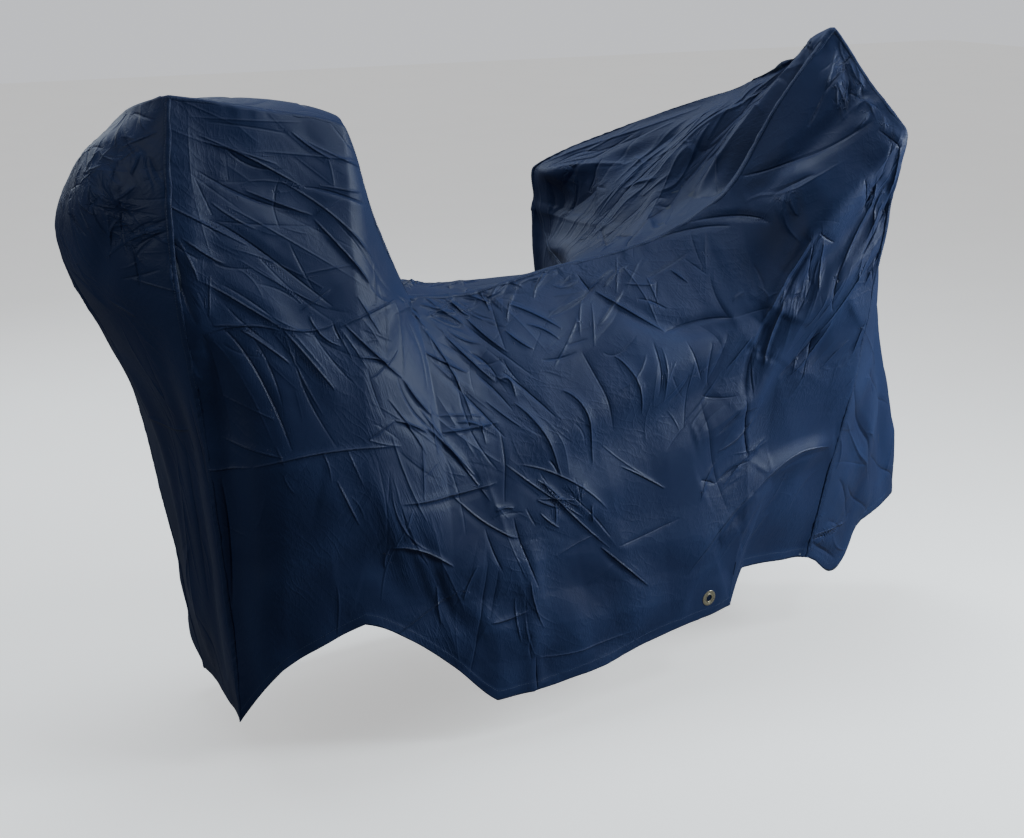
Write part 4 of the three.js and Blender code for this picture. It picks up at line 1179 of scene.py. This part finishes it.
# %% [markdown]
# ## Seams
# The panels are joined by a lapped seam: the edges are folded into each other and sewn flat, so that a narrow band
# stands a little proud of the cloth. It is a flat-topped profile carried along the seam line, drawn up and down by
# the thread. Its two sides lie along the two panels, so it bends over the edge between them.

# %% Seam bands
SEAM_HALF, SEAM_HIGH = 6 * MM, 1.1 * MM
SEAM_STEP = 3 * MM  # spacing of the profiles along the band
SEAM_OVER, SEAM_UNDER, SEAM_FOOT = 0.1 * MM, 0.5 * MM, 0.98  # the band's face over the cloth, and its foot in it
SEAM_SWAY, SWAY_WAVES = 0.8 * MM, (40, 110)  # how far the band strays sideways, and over which lengths in mm
SEAM_DRAWN, DRAWN_WAVES = 0.3, (14, 40)  # how much the thread draws it up and down, as a share of its height


def carried(path, step):
    """A path given by points, put on equal steps of its own length."""
    run = np.concatenate([[0], np.cumsum(np.linalg.norm(np.diff(path[:, :3], axis=0), axis=1))])
    places = np.linspace(0, run[-1], int(run[-1] / step) + 1)
    return np.stack([np.interp(places, run, path[:, k]) for k in range(path.shape[1])], axis=1), places


def seam_band(name, edge, toward_centre, toward_side):
    """Profile of a flat band across the seam, bent along the cloth on both sides, carried along the seam line."""
    both = np.concatenate([skin[edge], normals[edge], toward_centre, toward_side], axis=1)
    both, places = carried(both, SEAM_STEP)
    line, up, one, other = both[:, :3], unit(both[:, 3:6]), unit(both[:, 6:9]), unit(both[:, 9:12])
    draw_up = 1 + SEAM_DRAWN * edge_waves(places / MM, *DRAWN_WAVES, 16)
    across_band = np.array([-1, -0.86, -0.4, 0, 0.4, 0.86, 1])
    lift = np.array([0.0, 0.85, 1.0, 0.8, 1.0, 0.85, 0.0])
    sway = SEAM_SWAY * edge_waves(places / MM, *SWAY_WAVES, 8)
    rows = []
    for w, h in zip(across_band, lift):
        out = (abs(w) * SEAM_HALF + np.sign(w) * sway)[:, None] * (one if w > 0 else other)
        rows.append(line + out + (h * SEAM_HIGH * draw_up + SEAM_OVER)[:, None] * up)
    foot = SEAM_HALF * SEAM_FOOT
    rows += [line + out - SEAM_UNDER * up for out in (foot * one, 0 * one, foot * other)]
    ring = np.stack(rows, axis=1)
    n, k = ring.shape[:2]
    number = np.arange(n * k).reshape(n, k)
    a, b = number[:-1], number[1:]
    faces = np.stack([a, b, np.roll(b, -1, 1), np.roll(a, -1, 1)], -1).reshape(-1, 4)
    uv = np.stack([np.repeat(places, k), np.tile(np.linspace(0, 2 * SEAM_HALF, k), n)], -1)
    caps = [number[0, ::-1].tolist(), number[-1].tolist()]
    piece = make_piece(name, ring.reshape(-1, 3), faces.tolist() + caps, uv)
    print(name, "%.2f m long," % places[-1], len(faces), "faces")
    return piece, line, up, one, other


# %% Two bands
def leaving(ids_edge, ids_inner):
    """Directions from the points of an edge to the points some cells further in."""
    return unit(skin[ids_inner] - skin[ids_edge])


bands = {}
for side, ids, edge, further in (("right", right_id, 0, 2), ("left", left_id, -1, -3)):
    seam = centre_id[:, edge]
    beside = np.concatenate([ids[2, :0:-1], ids[:, 2], ids[-3, 1:]])
    bands[side] = seam_band(side + "_seam", seam, leaving(seam, centre_id[:, further]), leaving(seam, beside))

# %% [markdown]
# ## Stitches
# Two rows of thread run along each seam band and one row along the hem, twenty millimetres above its edge.
# One stitch is a short thick thread that dips into the cloth at both ends. All of them are one mesh: the same small
# tube is set down at every step of the path, with whole arrays and no loop over points.

# %% One row of thread
STITCH = {"length": 3.2 * MM, "thick": 0.32 * MM, "pitch": 5.0 * MM}
STITCH_RINGS, STITCH_SIDES = 4, 5  # rings along one stitch, and points round each


def stitch_mesh(line, up):
    """Tubes along a path: a round profile of five points, carried along half an arch at every pitch."""
    path, _ = carried(np.concatenate([line, up], axis=1), STITCH["pitch"])
    spot, up = path[:, :3], unit(path[:, 3:])
    run = unit(np.gradient(spot, axis=0))
    cross = np.cross(up, run)
    along = np.linspace(-0.5, 0.5, STITCH_RINGS)
    arch = STITCH["thick"] * (1.2 * np.cos(np.pi * along) - 0.5)
    thick = STITCH["thick"] * np.array([0.6, 1, 1, 0.6])
    turn = np.linspace(0, 2 * np.pi, STITCH_SIDES, endpoint=False)
    middle = spot[:, None] + along[None, :, None] * STITCH["length"] * run[:, None] + arch[None, :, None] * up[:, None]
    ring = np.cos(turn)[:, None, None] * cross + np.sin(turn)[:, None, None] * up
    points = middle[:, :, None] + thick[None, :, None, None] * np.moveaxis(ring, 0, 1)[:, None]
    number = np.arange(points[..., 0].size).reshape(points.shape[:3])
    a, b = number[:, :-1], number[:, 1:]
    faces = np.stack([a, b, np.roll(b, -1, 2), np.roll(a, -1, 2)], -1).reshape(-1, 4)
    ends = np.concatenate([number[:, 0, ::-1], number[:, -1]])
    return points.reshape(-1, 3), faces, ends


def stitch_piece(name, rows):
    """All rows of thread of one seam or hem, joined in one mesh."""
    points, faces, start = [], [], 0
    for line, up in rows:
        spots, tubes, ends = stitch_mesh(line, up)
        points.append(spots)
        faces += (tubes + start).tolist() + (ends + start).tolist()
        start += len(spots)
    piece = make_piece(name, np.concatenate(points), faces)
    print(name, start // (STITCH_RINGS * STITCH_SIDES), "stitches")
    return piece


# %% Rows on seams and hems
HEM_ROW, HEM_LIFT = 20 * MM, 0.15 * MM
SEAM_ROW = 0.62  # place of a row on its half of the band


def hem_row(ids):
    """A line a set distance above the hem: on every line of the grid the point at that running length."""
    grid, out = skin[ids], normals[ids]
    run = np.linalg.norm(np.diff(grid[:, ::-1], axis=1), axis=2).cumsum(1)
    place = np.array([np.interp(HEM_ROW, r, np.arange(1, len(r) + 1)) for r in run])
    i = np.floor(place).astype(int)
    f = (place - i)[:, None]
    lines = np.arange(len(grid))
    back = grid[:, ::-1], out[:, ::-1]
    spot, up = ((1 - f) * g[lines, i] + f * g[lines, i + 1] for g in back)
    return spot + HEM_LIFT * up, up


def band_rows(band):
    """The two rows of thread on a seam band, a little past the middle of each half."""
    _, line, up, one, other = band
    return [(line + SEAM_ROW * SEAM_HALF * way + (SEAM_HIGH + SEAM_OVER) * up, up) for way in (one, other)]


seam_thread = {side: stitch_piece(side + "_seam_thread", band_rows(band)) for side, band in bands.items()}
rear_end, front_end = centre_id[: DOWN // 2].T[:, ::-1], centre_id[-DOWN // 2 :].T
hem_thread = {
    "right": stitch_piece("right_hem_thread", [hem_row(right_id)]),
    "left": stitch_piece("left_hem_thread", [hem_row(left_id)]),
    "centre": stitch_piece("end_hem_thread", [hem_row(rear_end), hem_row(front_end)]),
}

# %% [markdown]
# ## The lock eyelet
# A pressed brass eyelet: a domed ring with a rolled inner lip on both faces of the hem, and a barrel through it.
# Turned parts are quickest as a profile swept round an axis, which is a surface of two parameters: the place on the
# profile and the turn.

# %% Turned eyelet
# Radii of flange, barrel, hole and rolled lip, then heights of groove and face over the middle of the hem, in mm
EYELET = {"flange": 16.5, "barrel": 8.5, "hole": 7.0, "lip": 1.0, "groove": 1.3, "face": 2.5}
VALLEY = {"deep": 0.55, "at": 0.72, "wide": 0.12}  # the ring pressed into the dome, in mm and shares of the way in
EYELET_TURNS = 96


def eyelet_profile(samples=24):
    """Half the profile, rim to hole: a flat underside, a round rim, a dome that sinks to a rolled lip at the hole."""
    rim_angle = np.linspace(-np.pi / 2, np.pi / 2, 8)
    rim_r = (EYELET["face"] - EYELET["groove"]) / 2.6
    rim_at, lip_r = EYELET["flange"] - rim_r, EYELET["lip"]
    rim = np.stack([rim_at + rim_r * np.cos(rim_angle), EYELET["groove"] + rim_r * (1 + np.sin(rim_angle))], 1)
    s = np.linspace(0, 1, samples)[1:]
    r = rim_at + s * (EYELET["hole"] + lip_r - rim_at)
    dome = (EYELET["face"] - rim[-1, 1]) * np.sin(np.pi * s * 0.5)
    valley = VALLEY["deep"] * np.exp(-(((s - VALLEY["at"]) / VALLEY["wide"]) ** 2))
    z = rim[-1, 1] + dome - valley + 0.25 * s**4
    lip_angle = np.linspace(np.pi / 2, np.pi, 8)[1:]
    lip = np.stack([EYELET["hole"] + lip_r * (1 + np.cos(lip_angle)), z[-1] - lip_r * (1 - np.sin(lip_angle))], 1)
    start = np.array([[EYELET["barrel"], EYELET["groove"]]])
    return np.concatenate([start, rim, np.stack([r, z], 1), lip])


# %% The eyelet in its place
half = eyelet_profile()
profile = np.concatenate([half, (half * (1, -1))[::-1]]) * MM
turn = np.linspace(0, 2 * np.pi, EYELET_TURNS, endpoint=False)
side_way = unit(np.cross(EYELET_FACING, (0, 0, 1)))
up_way = np.cross(side_way, EYELET_FACING)
sweep = np.cos(turn)[:, None] * side_way + np.sin(turn)[:, None] * up_way
body = EYELET_MIDDLE + profile[None, :, :1] * sweep[:, None] + profile[None, :, 1:] * EYELET_FACING
number = np.arange(body.shape[0] * body.shape[1]).reshape(body.shape[:2])
a, b = number, np.roll(number, -1, 0)
ring_faces = np.stack([a, np.roll(a, -1, 1), np.roll(b, -1, 1), b], -1).reshape(-1, 4)
eyelet = make_piece("lock_eyelet", body.reshape(-1, 3), ring_faces.tolist())
print("eyelet faces:", len(ring_faces))

# %% [markdown]
# ## Coated cloth
# The cloth is a thin navy weave with a coating inside. It has a satin gloss that is broad and bluish, fine crinkles
# between the creases and a barely visible weave. Its tint is paler on raised folds, partly wear where it was rubbed
# and partly painted highlight, and deeper in the troughs, which is painted shade.
# The weave, the fine crinkles and the pressed lines on the creases are three node groups that give plain values, so
# that another cloth could use them with strengths of its own.

# %% Helpers for nodes
MIX_FIRST, MIX_SECOND, MIX_COLOUR = 6, 7, 2  # numbers of a Mix node's colour sockets, whose names aren't unique


def new_group(name, *outputs):
    """An empty node group that puts out the named values, and its output node."""
    group = bpy.data.node_groups.new(name, "ShaderNodeTree")
    for label in outputs:
        group.interface.new_socket(label, in_out="OUTPUT", socket_type="NodeSocketFloat")
    return group, group.nodes.new("NodeGroupOutput")


def add_node(tree, kind, links=(), **values):
    """A node with its properties and sockets set; links are pairs of a socket name and where its value comes from."""
    node = tree.nodes.new(kind)
    for key, value in values.items():
        if hasattr(node, key):
            setattr(node, key, value)
        else:
            node.inputs[key.replace("_", " ").title()].default_value = value
    for key, source in links:
        tree.links.new(source, node.inputs[key])
    return node


def feed(tree, socket, value):
    """Gives a socket its value: a link where the value is a socket, else a plain number or colour."""
    if isinstance(value, bpy.types.NodeSocket):
        tree.links.new(value, socket)
    else:
        socket.default_value = value


def maths(tree, operation, *values):
    """Result of a Math node on numbers or sockets."""
    node = add_node(tree, "ShaderNodeMath", operation=operation)
    for socket, value in zip(node.inputs, values):
        feed(tree, socket, value)
    return node.outputs[0]


def carry_over(tree, value, old=(0, 1), new=(0, 1)):
    """A value carried in a straight line from the old range to the new one, and held at its ends."""
    node = add_node(tree, "ShaderNodeMapRange", [("Value", value)])
    for name, number in zip(("From Min", "From Max", "To Min", "To Max"), (*old, *new)):
        node.inputs[name].default_value = number
    return node.outputs[0]


def blend(tree, share, first, second):
    """Colour from the first, where the share is 0, to the second, where it is 1."""
    node = add_node(tree, "ShaderNodeMix", [("Factor", share)], data_type="RGBA")
    feed(tree, node.inputs[MIX_FIRST], first)
    feed(tree, node.inputs[MIX_SECOND], second)
    return node.outputs[MIX_COLOUR]


def noise_on(tree, vector, scale, detail):
    """Value of a noise texture at a vector."""
    return add_node(tree, "ShaderNodeTexNoise", [("Vector", vector)], scale=scale, detail=detail).outputs[0]


def bumped(tree, height, distance, strength=1.0, normal=None):
    """Normal tilted by a height, after another normal where one is given."""
    node = add_node(tree, "ShaderNodeBump", [("Height", height)] + ([("Normal", normal)] if normal else []))
    node.inputs["Strength"].default_value, node.inputs["Distance"].default_value = strength, distance
    return node.outputs["Normal"]


def own_places(tree):
    """Object coordinates, in metres."""
    return add_node(tree, "ShaderNodeTexCoord").outputs["Object"]


# %% Weave
THREAD = 0.0011  # spacing of the threads, m


def weave_group():
    """Height of a plain weave: sin(u) sin(v) in turns of the thread spacing, from the UV map in metres."""
    group, out = new_group("plain_weave", "Height")
    uv = add_node(group, "ShaderNodeUVMap", uv_map="cloth")
    split = add_node(group, "ShaderNodeSeparateXYZ", [(0, uv.outputs["UV"])])
    turns = 2 * np.pi / THREAD
    waves = [maths(group, "SINE", maths(group, "MULTIPLY", split.outputs[axis], turns)) for axis in ("X", "Y")]
    group.links.new(maths(group, "MULTIPLY", *waves), out.inputs["Height"])
    return group


# %% Fine crinkles
CRINKLES = [
    # direction in degrees, length and width of a crinkle in metres, weight
    (35, 0.075, 0.024, 0.8),
    (-50, 0.05, 0.018, 0.6),
    (80, 0.035, 0.011, 0.5),
]
CRINKLE_HALF = 0.08  # how far from its middle the noise still counts as a crinkle
PATCH_RANGE = (0.35, 0.65)  # the crinkles come up where the patches pass through this range


def crinkle_group():
    """Height of fine crinkles: thin lines where a noise, stretched along the pull of the cloth, is near its middle."""
    group, out = new_group("fine_crinkles", "Height", "Patches")
    patches = noise_on(group, own_places(group), scale=7.0, detail=3.0)
    uv = add_node(group, "ShaderNodeUVMap", uv_map="cloth").outputs["UV"]
    total = 0.0
    for direction, length, width, weight in CRINKLES:
        turned = add_node(group, "ShaderNodeMapping", [("Vector", uv)], vector_type="TEXTURE")
        turned.inputs["Rotation"].default_value = (0, 0, np.radians(direction))
        turned.inputs["Scale"].default_value = (length, width, 1)
        noise = noise_on(group, turned.outputs[0], scale=1.0, detail=1.5)
        away = maths(group, "ABSOLUTE", maths(group, "SUBTRACT", noise, 0.5))
        total = maths(group, "ADD", total, carry_over(group, away, (0, CRINKLE_HALF), (weight, 0)))
    height = maths(group, "MULTIPLY", total, carry_over(group, patches, PATCH_RANGE))
    group.links.new(height, out.inputs["Height"])
    group.links.new(patches, out.inputs["Patches"])
    return group


# %% Crest lines
CREST_HALF = 3.0  # half width of the pressed line on a crease, mm


def crest_group():
    """Thin sharp line along every crease: size x (1 - |distance| / half width), summed over the layers of crests."""
    group, out = new_group("crest_line", "Height")

    def layers(name):
        """The values of an attribute in the layers of crests."""
        stored = add_node(group, "ShaderNodeAttribute", attribute_name=name).outputs["Vector"]
        return add_node(group, "ShaderNodeSeparateXYZ", [(0, stored)]).outputs

    total = 0.0
    for gap, size in zip(layers("crest_gap"), layers("crest_size")):
        line = carry_over(group, maths(group, "ABSOLUTE", gap), (0, CREST_HALF), (1, 0))
        total = maths(group, "ADD", total, maths(group, "MULTIPLY", line, size))
    group.links.new(total, out.inputs["Height"])
    return group


weave, crinkles, crest_line = weave_group(), crinkle_group(), crest_group()
print("groups:", weave.name, crinkles.name, crest_line.name)


# %% Cloth material
RELIEF_SHADE_AND_WEAR = (-4, 6)  # relief in mm over which the tint goes from deep to pale: painted shade in troughs, painted highlight and wear on folds
CLOTH_ROUGH = (0.44, 0.58)  # roughness where the noise of the patches is 0, and where it is 1
# Distance and strength of the bumps that the creases, the crinkles and the weave give
CREST_BUMP, CRINKLE_BUMP, WEAVE_BUMP = (2.4 * MM, 1.0), (0.9 * MM, 0.38), (0.2 * MM, 0.12)


def shader_of(name):
    """A new material with nodes, its tree and its Principled shader."""
    material = bpy.data.materials.new(name)
    material.use_nodes = True
    return material, material.node_tree, material.node_tree.nodes["Principled BSDF"]


def cloth_material(name, deep, pale, inner):
    """Navy cloth: the tint goes from deep to pale with the patches and the relief, as painted shade in the troughs and
    painted highlight with some rub wear on raised folds, and to inner on the inside.
    """
    material, tree, shader = shader_of(name)
    fine = add_node(tree, "ShaderNodeGroup", node_tree=crinkles)
    threads = add_node(tree, "ShaderNodeGroup", node_tree=weave)
    sharp = add_node(tree, "ShaderNodeGroup", node_tree=crest_line)
    relief, inside = (
        add_node(tree, "ShaderNodeAttribute", attribute_name=name).outputs["Fac"] for name in ("relief", "inside")
    )
    # Painted shade and highlight: the troughs of the relief are tinted deeper and raised folds paler, in patches; on
    # sharp folds the paler tint also stands for wear
    share = maths(tree, "MULTIPLY", carry_over(tree, relief, RELIEF_SHADE_AND_WEAR), fine.outputs["Patches"])
    tint = blend(tree, inside, blend(tree, share, (*deep, 1), (*pale, 1)), (*inner, 1))
    tree.links.new(tint, shader.inputs["Base Color"])
    tree.links.new(carry_over(tree, fine.outputs["Patches"], new=CLOTH_ROUGH), shader.inputs["Roughness"])
    normal = bumped(tree, sharp.outputs["Height"], *CREST_BUMP)
    normal = bumped(tree, fine.outputs["Height"], *CRINKLE_BUMP, normal)
    normal = bumped(tree, threads.outputs["Height"], *WEAVE_BUMP, normal)
    tree.links.new(normal, shader.inputs["Normal"])
    shader.inputs["Specular IOR Level"].default_value = 0.22
    shader.inputs["Sheen Weight"].default_value = 0.02
    shader.inputs["Sheen Roughness"].default_value = 0.4
    return material


navy = cloth_material(
    "navy_coated_cloth", deep=(0.0105, 0.0195, 0.062), pale=(0.019, 0.036, 0.104), inner=(0.02, 0.03, 0.06)
)
for piece in (right_cloth, left_cloth, centre_cloth, bands["right"][0], bands["left"][0]):
    piece.data.materials.append(navy)
print("cloth:", navy.name)


# %% Thread material
def thread_material():
    """Dull polyester thread, a little paler than the cloth, with the twist of its plies as a fine wave."""
    material, tree, shader = shader_of("navy_thread")
    twist = noise_on(tree, own_places(tree), scale=900.0, detail=1.0)
    tint = blend(tree, twist, (0.02, 0.035, 0.08, 1), (0.05, 0.075, 0.14, 1))
    tree.links.new(tint, shader.inputs["Base Color"])
    tree.links.new(bumped(tree, twist, 0.2 * MM), shader.inputs["Normal"])
    shader.inputs["Roughness"].default_value = 0.65
    return material


thread = thread_material()
for piece in (*seam_thread.values(), *hem_thread.values()):
    piece.data.materials.append(thread)
print("thread:", thread.name)


# %% Brass material
def brass_material():
    """Pale plated brass with faint scratches and dull spots."""
    material, tree, shader = shader_of("plated_brass")
    spots = noise_on(tree, own_places(tree), scale=420.0, detail=4.0)
    tint = blend(tree, spots, (0.78, 0.72, 0.55, 1), (0.62, 0.55, 0.36, 1))
    tree.links.new(tint, shader.inputs["Base Color"])
    tree.links.new(carry_over(tree, spots, new=(0.16, 0.42)), shader.inputs["Roughness"])
    tree.links.new(bumped(tree, spots, 0.2 * MM), shader.inputs["Normal"])
    shader.inputs["Metallic"].default_value = 1.0
    return material


eyelet.data.materials.append(brass_material())
print("materials:", [m.name for m in bpy.data.materials])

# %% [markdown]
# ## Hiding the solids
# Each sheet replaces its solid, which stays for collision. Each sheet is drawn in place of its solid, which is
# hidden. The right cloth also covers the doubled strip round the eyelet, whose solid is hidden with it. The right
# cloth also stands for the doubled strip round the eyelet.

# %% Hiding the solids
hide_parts("right_panel", "eyelet_strip")
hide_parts("left_panel")
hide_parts("centre_panel")
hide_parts("eyelet")

# %% [markdown]
# ## Floor, light and camera
# A plain pale floor lies under the hem. Six soft square lights stand round the cover: a large one above, a key and
# two fills at the front right, a broad one on the far side that grazes the slope of the wing, and a weak one behind.
# So the front half is brighter and the rear face is dark. The floor and the surround look pale to the camera but give
# little light themselves, because light from all sides would wash the creases out. A bright surround alone would be
# simpler, with flatter folds. The camera stands to the right and a little behind.

# %% Floor
FLOOR_Z, FLOOR_HALF = -0.845, 14


def seen_straight(tree):
    """1 for what the camera sees straight on, 0 for light that comes back from other surfaces."""
    return add_node(tree, "ShaderNodeLightPath").outputs["Is Camera Ray"]


def floor_material():
    """Pale matt floor with a very faint mottle, which throws little light back on the cover."""
    material, tree, shader = shader_of("pale_floor")
    mottle = noise_on(tree, own_places(tree), scale=3.0, detail=4.0)
    tint = blend(tree, mottle, (0.80, 0.80, 0.80, 1), (0.84, 0.84, 0.84, 1))
    seen = blend(tree, seen_straight(tree), (0.05, 0.05, 0.05, 1), tint)
    tree.links.new(seen, shader.inputs["Base Color"])
    tree.links.new(seen, shader.inputs["Emission Color"])
    shader.inputs["Emission Strength"].default_value = 0.8
    shader.inputs["Roughness"].default_value = 0.9
    return material


floor_corners = np.array([(-1, -1, 0), (1, -1, 0), (1, 1, 0), (-1, 1, 0)]) * FLOOR_HALF + (0, 0, FLOOR_Z)
floor_mesh = bpy.data.meshes.new("floor")
floor_mesh.from_pydata(floor_corners, [], [(0, 1, 2, 3)])
floor = bpy.data.objects.new("floor", floor_mesh)
bpy.context.scene.collection.objects.link(floor)
floor.data.materials.append(floor_material())
print("floor at z =", FLOOR_Z)


# %% Lights
SKY_TINT = (0.84, 0.94, 1.0)


def soft_light(name, place, aim, size, watts):
    """A square area light at a place, turned to face its aim, with the cool tint of daylight."""
    data = bpy.data.lights.new(name, "AREA")
    data.size, data.energy, data.color = size, watts, SKY_TINT
    light = bpy.data.objects.new(name, data)
    light.location = place
    light.rotation_euler = (Vector(aim) - Vector(place)).to_track_quat("-Z", "Y").to_euler()
    bpy.context.scene.collection.objects.link(light)


# place and aim in metres, then the length of a side in metres and the power in watts
soft_light("sky", (-0.1, 0.4, 3.3), (0.1, 0.0, -0.3), 2.0, 95)
soft_light("key", (1.5, -2.5, 2.5), (0.2, -0.2, 0.0), 0.7, 36)
soft_light("front_fill", (2.9, -1.9, 0.8), (0.7, -0.3, -0.1), 1.2, 60)
soft_light("front_near", (1.9, -1.4, 0.25), (0.6, -0.3, 0.0), 0.8, 34)
soft_light("far_side", (-0.5, 2.7, 1.7), (0.5, 0.0, 0.2), 2.6, 46)
soft_light("rear_fill", (-3.2, -0.7, 0.7), (-0.6, 0.0, 0.2), 1.4, 20)
print("lights:", len(bpy.data.lights))

# %% Surround
world = bpy.data.worlds.new("pale_surround")
world.use_nodes = True
background = world.node_tree.nodes["Background"]
background.inputs["Color"].default_value = (0.93, 0.95, 1.0, 1)
strength = carry_over(world.node_tree, seen_straight(world.node_tree), new=(0.1, 0.83))
world.node_tree.links.new(strength, background.inputs["Strength"])
bpy.context.scene.world = world
print("surround:", world.name)

# %% Camera
camera_data = bpy.data.cameras.new("camera")
camera_data.sensor_width, camera_data.lens = 36.0, 68.34
camera = bpy.data.objects.new("camera", camera_data)
TARGET, STANDS_OFF = np.array([0.12, 0.0, -0.292]), 4.0
TURNED, PITCHED = np.radians((30.0, 15.0))
LOOK = np.array([np.sin(TURNED) * np.cos(PITCHED), np.cos(TURNED) * np.cos(PITCHED), -np.sin(PITCHED)])
camera.location = Vector(TARGET - STANDS_OFF * LOOK)
camera.rotation_euler = Vector(LOOK).to_track_quat("-Z", "Y").to_euler()
bpy.context.scene.collection.objects.link(camera)
bpy.context.scene.camera = camera
print("camera at", np.round(camera.location, 2).tolist())
